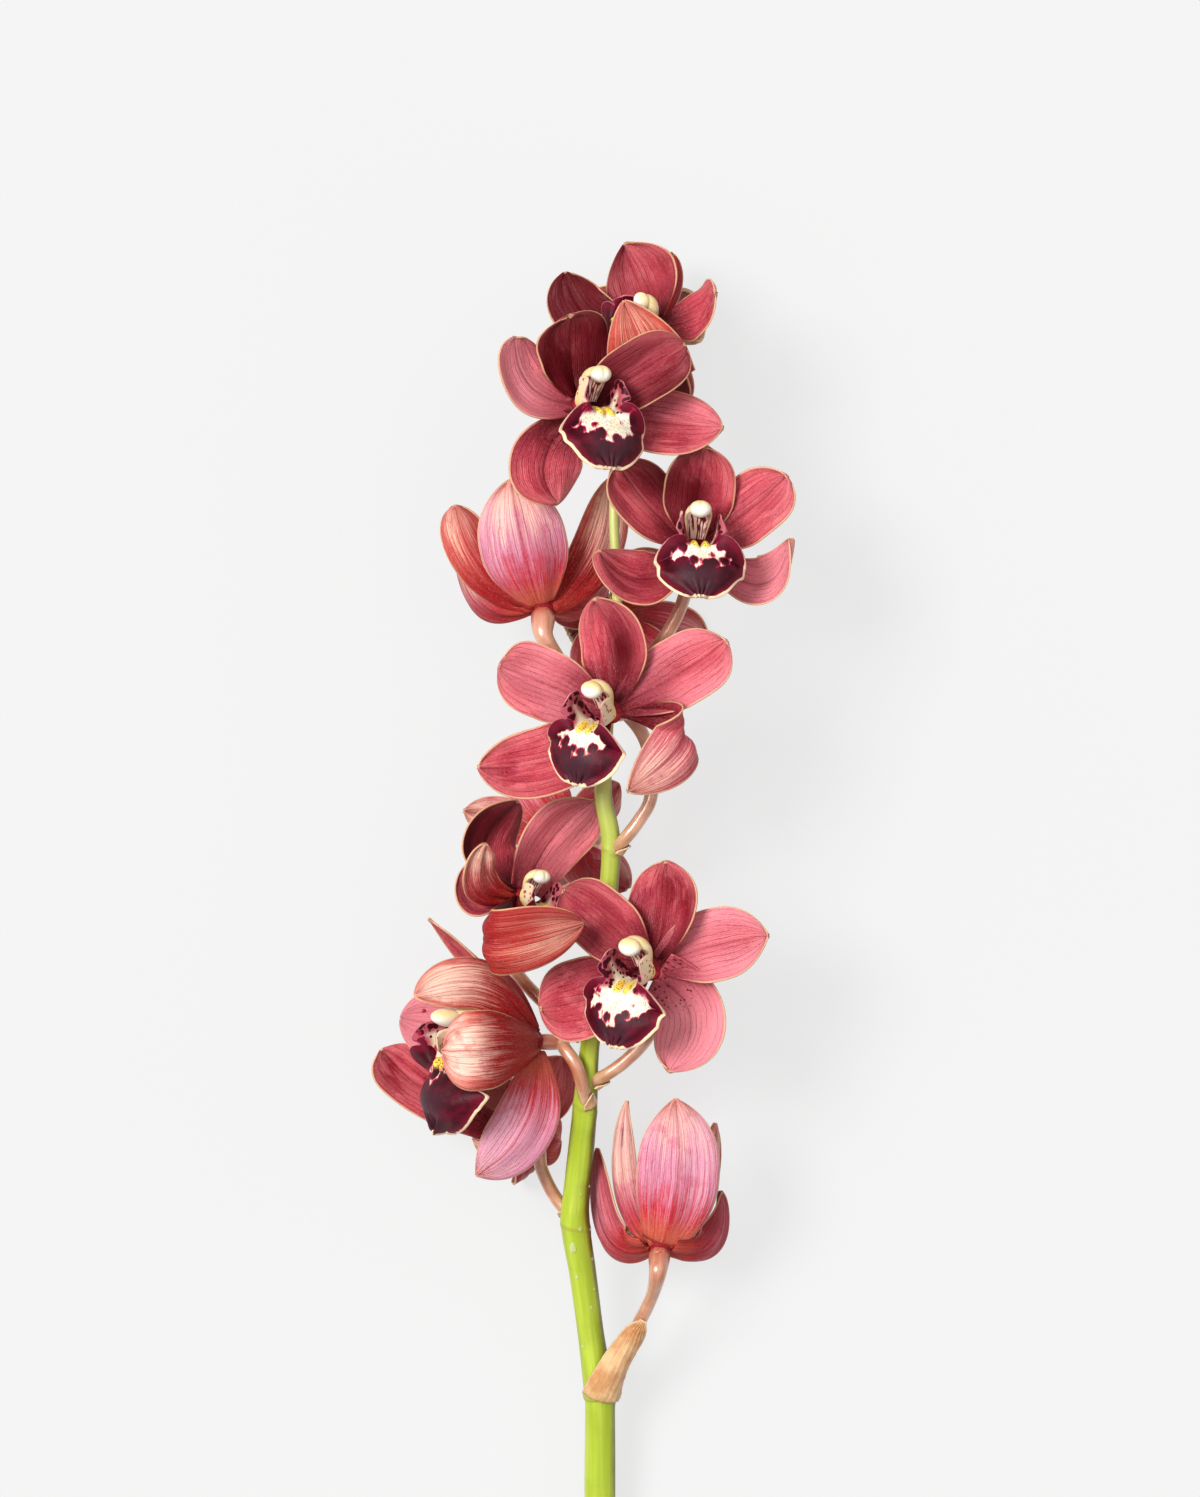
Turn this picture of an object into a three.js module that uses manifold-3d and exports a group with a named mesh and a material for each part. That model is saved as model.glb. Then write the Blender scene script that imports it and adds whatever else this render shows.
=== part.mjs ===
// A cut cymbidium stem laid on its back: one fleshy flower stalk with thirteen blooms, each on its own pedicel.
// Millimetres, +Z up. The stalk runs along +Y from its cut end.
// Z = 0 is the surface that the lowest petals touch. The origin is on it, under the middle of the part.
import * as THREE from "three";
import { mergeVertices } from "three/addons/utils/BufferGeometryUtils.js";
import Module from "manifold-3d";

const wasm = await Module();
wasm.setup();

const TEPAL_THICK = 1.1; // a sepal or petal along its midrib
const TEPAL_EDGE = 0.65; // the same at its margin
const LIP_THICK = 0.9;
const HUB_RADIUS = 4.2; // where a bloom's sepals and petals meet
const HUB_HALF_DEPTH = 2.2;
const HUB_SIDES = 7;
const GAP = 0.3; // between touching pieces
const FINE = { rows: 5, columns: 4, lip: 6 }; // how finely a bloom's sheets are divided
const COARSE = { rows: 4, columns: 2, lip: 4 }; // the same on a bloom under the stalk
const TIPWARD = 1.35; // how much closer together a sheet's rows are towards its tip
const DEGREE = Math.PI / 180;

const vector = (a) => new THREE.Vector3(...a);

// A closed solid from rows of points. Each row is a closed loop, and the two end rows are capped with a fan.
function loft(rows) {
  const sides = rows[0].length;
  const positions = rows.flat().flatMap((p) => [p.x, p.y, p.z]);
  const index = [];
  for (let r = 0; r + 1 < rows.length; r++)
    for (let s = 0; s < sides; s++) {
      const a = r * sides + s;
      const b = r * sides + ((s + 1) % sides);
      index.push(a, b, b + sides, a, b + sides, a + sides);
    }
  for (const [row, turned] of [[0, true], [rows.length - 1, false]]) {
    const middle = rows[row].reduce((sum, p) => sum.add(p), new THREE.Vector3()).divideScalar(sides);
    positions.push(middle.x, middle.y, middle.z);
    const centre = positions.length / 3 - 1;
    for (let s = 0; s < sides; s++) {
      const a = row * sides + s;
      const b = row * sides + ((s + 1) % sides);
      index.push(...(turned ? [b, a, centre] : [a, b, centre]));
    }
  }
  return solid(positions, index);
}

// A thin closed solid from a grid of { point, normal, thick }, split alike on both faces, with a rim round it.
function sheet(grid) {
  const rows = grid.length;
  const columns = grid[0].length;
  const count = rows * columns;
  const side = (sign) =>
    grid.flat().flatMap(({ point, normal, thick }) => {
      const p = point.clone().addScaledVector(normal, (sign * thick) / 2);
      return [p.x, p.y, p.z];
    });
  const positions = [...side(1), ...side(-1)];
  const index = [];
  const at = (r, c) => r * columns + c;
  for (let r = 0; r + 1 < rows; r++)
    for (let c = 0; c + 1 < columns; c++) {
      const [a, b, d, e] = [at(r, c), at(r, c + 1), at(r + 1, c + 1), at(r + 1, c)];
      const halves = c < (columns - 1) / 2 ? [[a, b, d], [a, d, e]] : [[a, b, e], [b, d, e]];
      for (const [i, j, k] of halves) {
        index.push(i, j, k);
        index.push(i + count, k + count, j + count);
      }
    }
  const rim = [];
  for (let c = 0; c < columns; c++) rim.push(at(0, c));
  for (let r = 1; r < rows; r++) rim.push(at(r, columns - 1));
  for (let c = columns - 2; c >= 0; c--) rim.push(at(rows - 1, c));
  for (let r = rows - 2; r > 0; r--) rim.push(at(r, 0));
  rim.forEach((a, i) => {
    const b = rim[(i + 1) % rim.length];
    index.push(b, a, a + count, b, a + count, b + count);
  });
  return solid(positions, index);
}

// A manifold solid from loose positions and triangles.
function solid(positions, index) {
  const geometry = new THREE.BufferGeometry();
  geometry.setAttribute("position", new THREE.Float32BufferAttribute(positions, 3));
  geometry.setIndex(index);
  const merged = mergeVertices(geometry, 1e-3);
  const made = new wasm.Manifold(
    new wasm.Mesh({
      numProp: 3,
      vertProperties: merged.attributes.position.array,
      triVerts: new Uint32Array(merged.index.array),
    }),
  );
  if (made.volume() > 0) return made;
  const turned = new Uint32Array(merged.index.array);
  for (let i = 0; i < turned.length; i += 3) [turned[i + 1], turned[i + 2]] = [turned[i + 2], turned[i + 1]];
  return new wasm.Manifold(
    new wasm.Mesh({ numProp: 3, vertProperties: merged.attributes.position.array, triVerts: turned }),
  );
}

const NARROWEST = 0.1; // the least half width of a sepal or petal, as a share of its greatest

// Half the width of a sepal or petal, as a share of its greatest half width, from root (0) to tip (1).
function outline(t, widest, blunt, neck) {
  if (t < widest) return neck + (1 - neck) * Math.sin((Math.PI / 2) * (t / widest));
  const past = (t - widest) / (1 - widest);
  const share = Math.max(Math.cos((Math.PI / 2) * past ** (1.4 + blunt)), 0) ** (0.75 - 0.3 * blunt);
  return Math.max(share, NARROWEST);
}

// A sepal or petal. Its midrib runs from the root to the tip, bowed by bulge. It is cupped about the midrib
// towards its inner face, by cup degrees to each side. The edge says which way its width runs, where that isn't
// square to the way the bloom faces. A blunt one keeps its width for longer. One that leans has a blunter
// shoulder on one side than the other.
function tepal(
  bloom,
  { tip, wide, bulge = 4, edge, cup = 26, widest = 0.5, blunt = 0.2, lean = 0, neck = 0.34 },
) {
  const end = vector(tip);
  const bow = Array.isArray(bulge) ? vector(bulge) : bloom.facing.clone().multiplyScalar(-bulge);
  const out = end.clone().addScaledVector(bow, 2).projectOnPlane(bloom.facing).normalize();
  const root = out.multiplyScalar(HUB_RADIUS * 0.7);
  const chord = end.clone().sub(root);
  const midrib = (t) =>
    bloom.centre
      .clone()
      .add(root)
      .addScaledVector(chord, t)
      .addScaledVector(bow, 4 * t * (1 - t));
  const across = edge ? vector(edge) : new THREE.Vector3().crossVectors(chord, bloom.facing);
  const grid = [];
  for (let r = 0; r <= bloom.detail.rows; r++) {
    const t = 1 - (1 - r / bloom.detail.rows) ** TIPWARD;
    const along = midrib(t + 0.01).sub(midrib(t - 0.01)).normalize();
    const side = across.clone().projectOnPlane(along).normalize();
    const up = new THREE.Vector3().crossVectors(side, along).normalize();
    const angle = Math.max(cup * DEGREE * Math.sin(Math.PI * (0.25 + t * 0.75)), 0.02);
    const row = [];
    for (let c = 0; c <= bloom.detail.columns; c++) {
      const v = (2 * c) / bloom.detail.columns - 1;
      const shoulder = THREE.MathUtils.clamp(blunt + lean * (v > 0 ? 1 : -1), -0.3, 1.3);
      const radius = ((wide / 2) * outline(t, widest, shoulder, neck)) / angle;
      const turn = v * angle;
      const point = midrib(t)
        .addScaledVector(side, radius * Math.sin(turn))
        .addScaledVector(up, radius * (1 - Math.cos(turn)));
      const normal = up.clone().multiplyScalar(Math.cos(turn)).addScaledVector(side, -Math.sin(turn));
      row.push({ point, normal, thick: TEPAL_THICK + (TEPAL_EDGE - TEPAL_THICK) * v * v });
    }
    grid.push(row);
  }
  return sheet(grid);
}

// A point in a bloom's own axes: sideways, up towards the dorsal sepal, and forward the way it faces.
const inBloom = (bloom, sideways, up, forward, scale) =>
  bloom.centre
    .clone()
    .addScaledVector(bloom.side, sideways * scale)
    .addScaledVector(bloom.up, up * scale)
    .addScaledVector(bloom.facing, forward * bloom.scale * bloom.stretch);

// A smooth curve through [a, b] pairs, evaluated at t from 0 to 1.
function through(pairs) {
  const curve = new THREE.CatmullRomCurve3(pairs.map(([a, b]) => new THREE.Vector3(a, b, 0)));
  return (t) => curve.getPoint(Math.min(Math.max(t, 0), 1));
}

// The lip's midline, up and forward of the bloom's centre.
const LIP_MIDLINE = through([[-2.6, 3.4], [-5, 8], [-6.4, 12.2], [-9.5, 15.6], [-16.5, 17], [-24, 14]]);
const LOBE_REACH = 14.2; // half the width of the mid lobe
const LOBE_WIDEST = 0.2; // how far down the mid lobe it is that wide
const LOBE_ENDS = 0.97; // it ends a little short of its point
const LOBE_ROWS = [0, 0.2, 0.5, 0.78, 1];

// A rib of the mid lobe: how far it reaches to each side, and where it starts and ends on the midline.
function lobeRib(s) {
  const past = (LOBE_ENDS * Math.max(s - LOBE_WIDEST, 0)) / (1 - LOBE_WIDEST);
  const rising = 0.62 + 0.38 * Math.sin((Math.PI / 2) * Math.min(s / LOBE_WIDEST, 1));
  const share = s < LOBE_WIDEST ? rising : (1 - past ** 3) ** 0.5;
  return [LOBE_REACH * share, 0.47 + 0.53 * s, 0.47 + 0.53 * s + 0.02 * (1 - s)];
}

// The rim of half the lip, sideways along the sheet and how far down the midline its rib starts and ends.
const LIP_RIBS = [
  // reach, start, end
  [2.8, 0.0, 0.02],
  [9.6, 0.1, 0.1],
  [13.8, 0.22, 0.33],
  [12.4, 0.33, 0.48],
  ...LOBE_ROWS.map(lobeRib),
];
const LIP_TUBE = 5.4; // radius of the trough between the side lobes
const LIP_STAND = 84 * DEGREE; // how far round the trough its walls turn before they go straight on
const LIP_ROLL = 0.028; // how fast the mid lobe drops to each side, per millimetre

// The lip: a trough with two side lobes that stand up beside the column, and a mid lobe that rolls down.
function lip(bloom) {
  const columns = bloom.detail.lip;
  const grid = LIP_RIBS.map(([reach, start, end], r) => {
    const row = [];
    for (let c = 0; c <= columns; c++) {
      const v = (2 * c) / columns - 1;
      const away = Math.abs(v) * reach;
      const t = start + (end - start) * v * v;
      const mid = LIP_MIDLINE(t);
      const slope = LIP_MIDLINE(t + 0.01).sub(LIP_MIDLINE(t - 0.01)).normalize();
      const trough = 1 - THREE.MathUtils.smoothstep(t, 0.42, 0.62);
      const most = LIP_STAND * trough;
      const bend = Math.min(away / LIP_TUBE, most);
      const straight = away - bend * LIP_TUBE;
      const x = LIP_TUBE * Math.sin(bend) + straight * Math.cos(most);
      let rise = LIP_TUBE * (1 - Math.cos(bend)) + straight * Math.sin(most);
      rise -= (1 - trough) * LIP_ROLL * away * away;
      const upward = new THREE.Vector2(slope.y, -slope.x); // at right angles to the midline, up and forward
      const point = inBloom(
        bloom,
        Math.sign(v) * x,
        mid.x + upward.x * rise,
        mid.y + upward.y * rise,
        bloom.lipScale,
      );
      row.push(point);
    }
    return row;
  });
  const normalAt = (r, c) => {
    const last = grid.length - 1;
    const a = grid[Math.min(r + 1, last)][c].clone().sub(grid[Math.max(r - 1, 0)][c]);
    const b = grid[r][Math.min(c + 1, columns)].clone().sub(grid[r][Math.max(c - 1, 0)]);
    return a.cross(b).normalize();
  };
  const rows = grid.map((row, r) =>
    row.map((point, c) => ({ point, normal: normalAt(r, c), thick: LIP_THICK })),
  );
  return sheet(rows);
}

// The column's middle, up and forward of the bloom's centre.
const COLUMN_PATH = through([[0.6, 4.5], [3.4, 6.8], [6, 9.6], [6.8, 12.6], [5.4, 15.4]]);
const COLUMN_ROWS = [
  // how far along, half width, half depth
  [0.0, 2.9, 1.9],
  [0.25, 3.1, 2.0],
  [0.5, 3.4, 2.1],
  [0.72, 3.8, 2.2],
  [0.86, 3.7, 2.6],
  [0.96, 2.7, 2.2],
  [1.0, 1.2, 1.0],
];
const COLUMN_SIDES = 6;

// The column, which arches over the lip and ends in the anther cap.
function column(bloom) {
  const rows = COLUMN_ROWS.map(([t, halfWidth, halfDepth]) => {
    const mid = COLUMN_PATH(t);
    const slope = COLUMN_PATH(t + 0.02).sub(COLUMN_PATH(t - 0.02)).normalize();
    return Array.from({ length: COLUMN_SIDES }, (_, s) => {
      const turn = (2 * Math.PI * (s + 0.5)) / COLUMN_SIDES;
      const deep = halfDepth * Math.sin(turn);
      const up = mid.x + slope.y * deep;
      return inBloom(bloom, halfWidth * Math.cos(turn), up, mid.y - slope.x * deep, bloom.scale);
    });
  });
  return loft(rows);
}

// A round tube with a ring at each of the points, which are [x, y, z, radius].
function tube(points, sides) {
  const smooth = (pick) => new THREE.CatmullRomCurve3(points.map(pick), false, "catmullrom");
  const middle = smooth(([x, y, z]) => new THREE.Vector3(x, y, z));
  const radius = smooth(([, , , r]) => new THREE.Vector3(r, 0, 0));
  const count = points.length - 1;
  const across = new THREE.Vector3(1, 0.1, 0);
  const rows = [];
  for (let i = 0; i <= count; i++) {
    const t = i / count;
    const along = middle.getTangent(t);
    across.projectOnPlane(along).normalize();
    const third = new THREE.Vector3().crossVectors(along, across);
    rows.push(
      Array.from({ length: sides }, (_, s) => {
        const turn = (2 * Math.PI * s) / sides;
        return middle
          .getPoint(t)
          .addScaledVector(across, radius.getPoint(t).x * Math.cos(turn))
          .addScaledVector(third, radius.getPoint(t).x * Math.sin(turn));
      }),
    );
  }
  return loft(rows);
}

// The small boss that a bloom's five sepals and petals grow from.
function hub(bloom) {
  const rows = [-1, 0, 1].map((level) => {
    const across = HUB_RADIUS * (level === 0 ? 1 : 0.7);
    return Array.from({ length: HUB_SIDES }, (_, s) => {
      const turn = (2 * Math.PI * s) / HUB_SIDES;
      return bloom.centre
        .clone()
        .addScaledVector(bloom.side, across * Math.cos(turn))
        .addScaledVector(bloom.up, across * Math.sin(turn))
        .addScaledVector(bloom.facing, level * HUB_HALF_DEPTH);
    });
  });
  return loft(rows);
}

// The stalk's middle, from the cut end to the tip, and its radius at each point.
const STALK = [
  [4.8, -225, 4.7, 4.7],
  [4.8, -190, 7.7, 4.8],
  [4.8, -155, 11.2, 4.7],
  [4.8, -126, 15.2, 4.6],
  [4.8, -122.5, 15.8, 5.1],
  [4.2, -119, 16.4, 4.6],
  [2.1, -104.7, 19.5, 4.0],
  [-0.4, -86, 23.5, 4.1],
  [-2.7, -70, 27.5, 4.4],
  [-2.1, -60, 30, 4.0],
  [0, -38.7, 36, 3.8],
  [1.8, -16.2, 41, 2.9],
  [5.1, 9.3, 45, 2.8],
  [8.1, 42.3, 48, 2.9],
  [5.7, 60.3, 49, 2.6],
  [7.2, 87.3, 49, 2.1],
  [9.9, 117.3, 50, 1.6],
  [9, 142.8, 50, 1.5],
  [10.8, 156.3, 49, 1.6],
  [16.8, 177.3, 46, 1.5],
];
const STALK_SIDES = 12;

// The stalk, or the room that it needs round it.
const stalk = (room) => tube(STALK.map(([x, y, z, radius]) => [x, y, z, radius + room]), STALK_SIDES);

const PEDICEL_RADIUS = 2;
const OVARY_START = 9; // how far behind the bloom's centre the ovary is half swollen
const OVARY_RADIUS = 2.9;
const PEDICEL_SIDES = 7;

// A pedicel, or the room that it needs round it. It runs from inside the stalk to just behind its bloom, and
// swells into the ovary there.
function pedicel(bloom, room) {
  const behind = (distance) => bloom.centre.clone().addScaledVector(bloom.facing, -distance).toArray();
  const path = [
    ...bloom.pedicel.map((point) => [...point, PEDICEL_RADIUS + room]),
    [...behind(OVARY_START), (PEDICEL_RADIUS + bloom.ovary) / 2 + room],
    [...behind(HUB_HALF_DEPTH + GAP - room), bloom.ovary + room],
  ];
  return tube(path, PEDICEL_SIDES);
}

// The papery bract that wraps the lowest pedicel: the middle of each row of its wrap, its radius, and how far
// it reaches round to each side, in degrees from straight up.
const BRACT_ROWS = [
  [5, -122.6, 15.9, 5.6, -72, 92],
  [6.6, -117.5, 18.2, 5.2, -62, 105],
  [9.6, -112, 21.2, 4.2, -70, 110],
  [13.2, -106.5, 23.8, 3.5, -75, 95],
  [16, -101.8, 25.7, 3, -60, 60],
  [17.8, -98.6, 27, 2.7, -16, 20],
];
const BRACT_COLUMNS = 6;
const BRACT_THICK = 0.6;

function bract() {
  const centre = (r) => vector(BRACT_ROWS[r].slice(0, 3));
  const last = BRACT_ROWS.length - 1;
  const grid = BRACT_ROWS.map(([, , , radius, left, right], r) => {
    const along = centre(Math.min(r + 1, last)).sub(centre(Math.max(r - 1, 0))).normalize();
    const side = new THREE.Vector3(1, 0, 0).projectOnPlane(along).normalize();
    const up = new THREE.Vector3().crossVectors(side, along);
    return Array.from({ length: BRACT_COLUMNS + 1 }, (_, c) => {
      const turn = (left + ((right - left) * c) / BRACT_COLUMNS) * DEGREE;
      const normal = up.clone().multiplyScalar(Math.cos(turn)).addScaledVector(side, Math.sin(turn));
      return { point: centre(r).addScaledVector(normal, radius), normal, thick: BRACT_THICK };
    });
  });
  return sheet(grid);
}

// Each bloom: its centre, the way it faces and the way its column and lip are turned up, then the route of its
// pedicel. Its scale is its column's, and its lip's where no lipScale is given. Stretch lengthens both of them the
// way it faces. The tips of its sepals and petals are measured from its centre.
const BLOOMS = [
  {
    at: [21, 198, 50],
    facing: [-0.6, 0.4, 0.69],
    up: [0.75, 0.6, 0.25],
    scale: 0.85,
    lipScale: 0.75,
    pedicel: [[15.8, 174, 46], [20.5, 180, 43.5], [25, 186.5, 42]],
    tepals: [
      { tip: [18.3, 10.5, 16], wide: 18, bulge: 5, blunt: 0.7, lean: -0.3 },
      { tip: [-8.5, 26.7, -12], wide: 26, blunt: 0.1 },
      { tip: [-26.5, 18, -14], wide: 18, bulge: [-5, -5, -2], blunt: 0.5 },
      { tip: [-9, 8.1, 18.5], wide: 25, bulge: [4, -15.3, 3.5], edge: [-0.95, 0.2, 0] },
      { tip: [5, -26, 3], wide: 18, bulge: 2 },
    ],
  },
  {
    at: [-0.6, 174.3, 68],
    facing: [0.45, 0.3, 0.84],
    up: [-0.06, 1, -0.2],
    scale: 0.93,
    lipScale: 1,
    pedicel: [[10.9, 157, 49], [7, 160, 53], [1, 165.5, 57]],
    tepals: [
      { tip: [-3.6, 27, 5], wide: 26, bulge: [-1, 0, -4], blunt: 1.1 },
      { tip: [-20, 20.5, 10], wide: 20, bulge: [-4.5, -4.5, 1], cup: 30, blunt: 1.1, lean: 0.2 },
      { tip: [30.6, 18.5, 4], wide: 20, bulge: [-1.5, -1, 1], blunt: 1, lean: 0.2 },
      { tip: [42, -6, -2], wide: 22, bulge: 3, blunt: 0.3 },
      { tip: [-7.5, -28.5, 0], wide: 24, bulge: [-6.5, 0, -3], cup: 12, blunt: 0.5 },
    ],
  },
  {
    at: [-12.5, 114.5, 46],
    facing: [-0.05, 0.85, -0.5],
    up: [0, 0.5, 0.85],
    pedicel: [[7.3, 87, 49], [1, 91, 49], [-5, 96, 50], [-9, 102, 50]],
    ovary: 3.6,
    tepals: [
      { tip: [-9.5, 38.5, 11], wide: 27, bulge: [0, -3, 6], edge: [-1, -0.2, 0] },
      { tip: [-26, 31, 2], wide: 16, bulge: [-4, -3, 2], edge: [-0.8, -0.5, -0.3], blunt: 0.9, lean: 0.3 },
      { tip: [-24.5, 20.5, -6], wide: 14, bulge: [-5, -9, -2], edge: [-0.4, -0.4, -0.8] },
      { tip: [19.6, 39, -7], wide: 16, bulge: [5, -3, 1], edge: [-0.9, 0.4, 0.2] },
      { tip: [19, 20, -14], wide: 14, bulge: [4, -6, -2], edge: [-0.4, 0.4, 0.8] },
    ],
  },
  {
    at: [33, 133, 60],
    facing: [0.12, 0.42, 0.89],
    up: [0, 0.89, -0.45],
    scale: 0.93,
    lipScale: 0.97,
    pedicel: [[7.4, 88, 49], [13, 93, 48], [19, 99.5, 48], [25.4, 108, 48.5], [30, 118, 50]],
    tepals: [
      { tip: [3, 30, 4], wide: 22, blunt: 0.6 },
      { tip: [-23.5, 24.5, 2], wide: 21, bulge: 3, blunt: 0.8, lean: -0.3 },
      { tip: [27.5, 21, 4], wide: 21, blunt: 0.8, lean: 0.35 },
      { tip: [29, 2, 6], wide: 17, bulge: [4, -11.5, -3], blunt: 0.5 },
      { tip: [-28.6, -1.5, 4], wide: 19, bulge: [1, -8.5, -3], blunt: 0.5 },
    ],
  },
  {
    at: [9.3, 114.3, 17.5],
    facing: [0.25, 0.1, -0.96],
    up: [0.88, 0.47, 0],
    scale: 0.82,
    detail: COARSE,
    pedicel: [[9.6, 111, 50], [11, 111, 43], [9, 113, 35]],
    tepals: [
      { tip: [14, 18, -12], wide: 18, bulge: 3 },
      { tip: [-20, 6, -10], wide: 18, bulge: 3 },
      { tip: [28.5, -8, -17.2], wide: 16, bulge: [0, 0, -4.2], cup: 5 },
      { tip: [-8, -24, -17.8], wide: 18, bulge: 3 },
      { tip: [16, -22, -14], wide: 18, bulge: 3 },
    ],
  },
  {
    at: [8.4, 83.7, 68],
    facing: [-0.5, 0.05, 0.86],
    up: [0.2, 1, 0],
    scale: 0.95,
    pedicel: [
      [8.2, 41.7, 48], [12.5, 46, 51], [16.3, 51, 52], [19.8, 57.3, 53], [20.3, 66, 53], [18, 76, 55],
    ],
    tepals: [
      { tip: [-5, 33.6, 2], wide: 23, bulge: [4, 0, -4], blunt: 0.4 },
      { tip: [-33.6, 14, -6], wide: 22, bulge: [0, 0, -3], blunt: 0.9, lean: 0.3 },
      { tip: [34, 21, 8], wide: 23, bulge: 3, blunt: 0.5, lean: 0.4 },
      {
        tip: [4.5, -23.7, 15], wide: 18, bulge: [17.5, 6, -1], edge: [0.3, -0.95, 0], widest: 0.62, neck: 0.1,
      },
      { tip: [-40, -16.5, -6], wide: 22, bulge: [4, -5, -3], blunt: 0.4 },
    ],
  },
  {
    at: [-5.7, 46.8, 17.5],
    facing: [-0.2, 0, -0.98],
    up: [0.3, 0.95, 0],
    scale: 0.72,
    detail: COARSE,
    pedicel: [[8, 42.5, 48], [8.5, 42.5, 40], [3.5, 45, 33]],
    tepals: [
      { tip: [-14, 20, -12], wide: 18, bulge: 3 },
      { tip: [-31, 7, -17.2], wide: 14, bulge: [0, 0, -4.2], cup: 5 },
      { tip: [16, 15, -12], wide: 14, bulge: 3 },
      { tip: [8, -14, -8], wide: 15, bulge: 2 },
      { tip: [19, -16.5, -17.8], wide: 13, bulge: 3 },
    ],
  },
  {
    at: [-18.6, 27.3, 42],
    facing: [0.55, 0.2, 0.8],
    up: [-0.1, 0.97, -0.17],
    scale: 0.78,
    lipScale: 0.8,
    pedicel: [
      [1.8, -14.7, 41], [-5, -9.5, 38], [-13.2, -2.7, 36], [-20.5, 5.5, 34.5], [-26, 15, 33], [-26, 22, 33],
    ],
    tepals: [
      { tip: [-1.5, 29.5, -2], wide: 21, bulge: [-10, -1, -4], blunt: 0.6, lean: 0.3 },
      { tip: [21.5, 29.7, 2.5], wide: 21, bulge: [-2, 2, -3], blunt: 0.5, lean: 0.3 },
      { tip: [-11, 17, 16], wide: 12, bulge: [-5, -4, 2], edge: [-0.8, -0.5, 0.3], blunt: 0.7 },
      { tip: [-16, 10.5, -3], wide: 14, bulge: [-4, -6, 0] },
      {
        tip: [18.3, -6.5, 25], wide: 21, bulge: [-18, -8.5, 12], edge: [0, 1, 0.3], widest: 0.6, blunt: 0.6,
      },
    ],
  },
  {
    at: [20, 7, 62],
    facing: [-0.5, 0.05, 0.86],
    up: [0.2, 1, 0],
    pedicel: [[1.3, -28, 39], [7, -25, 42], [13, -20.5, 44], [19, -14, 46], [24.5, -4, 48.5]],
    tepals: [
      { tip: [4.5, 32, 2], wide: 24, blunt: 0.4, lean: 0.2 },
      { tip: [-26, 23.5, -3], wide: 21, blunt: 1 },
      { tip: [35, 10, 6], wide: 23, bulge: [-1, 1, -3], blunt: 0.1 },
      {
        tip: [5.3, -30.6, 2], wide: 21.5, bulge: [8.5, 2, -3], edge: [-0.9, -0.35, 0], blunt: 0.5, lean: 0.3,
      },
      { tip: [-33, -12, -6], wide: 25, bulge: [0, -2, -4], blunt: 0.9 },
    ],
  },
  {
    at: [-14.8, -15.2, 43],
    facing: [-0.88, 0.05, 0.45],
    up: [0.11, 1, 0.12],
    stretch: 2,
    lipScale: 1.2,
    pedicel: [[1.2, -35.7, 37], [-0.2, -29.5, 43], [-2.5, -22, 45.5], [-6, -17, 43.5]],
    ovary: 2.4,
    tepals: [
      { tip: [-31.9, 36.9, 3], wide: 10, bulge: [4, -2, 0], blunt: -0.3 },
      { tip: [-35.6, 14, 17], wide: 16, bulge: [3, 9, 5], edge: [0, -1, 0.2], blunt: 0.5 },
      { tip: [-40.5, 6.5, -12], wide: 23, bulge: [0, 0, -5], blunt: 0.6 },
      { tip: [-27, -2, 25], wide: 24.5, bulge: [0, -0.5, 13.5], edge: [0, -1, 0], blunt: 1 },
      { tip: [-17.5, -40, 3], wide: 20, bulge: [6, -3, 3], edge: [1, -0.3, -0.2] },
    ],
  },
  {
    at: [-18.6, -46.2, 18],
    facing: [-0.5, 0.1, -0.86],
    up: [0.39, -0.92, 0],
    scale: 0.8,
    detail: COARSE,
    pedicel: [[-2.7, -69.3, 27.5], [-6.5, -65.5, 26], [-10, -60.5, 26], [-13, -53.5, 27]],
    tepals: [
      { tip: [11.4, 25.5, -2], wide: 20, bulge: 3 },
      { tip: [11, 0, -12], wide: 16, bulge: [2, 0, 1] },
      { tip: [0, -9, -18.6], wide: 14, bulge: [2, -3, 2] },
      { tip: [-15, 1, 0], wide: 14, bulge: 2 },
      { tip: [-42.5, 28, 8], wide: 17, bulge: [-5, 0, 3], edge: [0.6, 0.8, 0], widest: 0.65, blunt: 0.6 },
    ],
  },
  {
    at: [23, -77.5, 35.5],
    facing: [0.1, 0.85, -0.5],
    up: [0, 0.5, 0.85],
    scale: 0.86,
    pedicel: [[4.8, -122.7, 15.7], [10, -112, 20.5], [16.8, -100.2, 26], [20.5, -92, 32.5]],
    ovary: 3.2,
    tepals: [
      { tip: [4.5, 45, 8.5], wide: 25.5, bulge: [2.5, -3, 6], edge: [-1, 0.1, 0] },
      { tip: [-10, 44, -3.5], wide: 9, bulge: [-4.5, -4, 1], edge: [-0.9, -0.2, -0.4], blunt: -0.2 },
      { tip: [-19, 29.5, -9.5], wide: 17, bulge: [-5, -11, -1], edge: [-0.4, -0.4, -0.8] },
      { tip: [18, 16.5, -9.5], wide: 15, bulge: [5, -7, -1], edge: [-0.4, 0.4, 0.8] },
      { tip: [16.5, 37.2, -7.5], wide: 9, bulge: [3, -3, 0], edge: [-0.8, 0.2, 0.5] },
    ],
  },
  {
    at: [20, 197, 18],
    facing: [0.2, 0.1, -0.97],
    up: [-0.76, -0.65, 0],
    scale: 0.72,
    detail: COARSE,
    pedicel: [[12.9, 165, 47.8], [12, 172, 42], [14, 184, 36]],
    tepals: [
      { tip: [6.6, 26, -4], wide: 12, bulge: 3 },
      { tip: [-20, 12, -12], wide: 18, bulge: 3 },
      { tip: [10, -14.5, -17.7], wide: 13, bulge: [0, 0, -4.2], cup: 5 },
      { tip: [-12, -18, -18.3], wide: 18, bulge: 3 },
      { tip: [8, -22, -14], wide: 18, bulge: 3 },
    ],
  },
];

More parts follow.
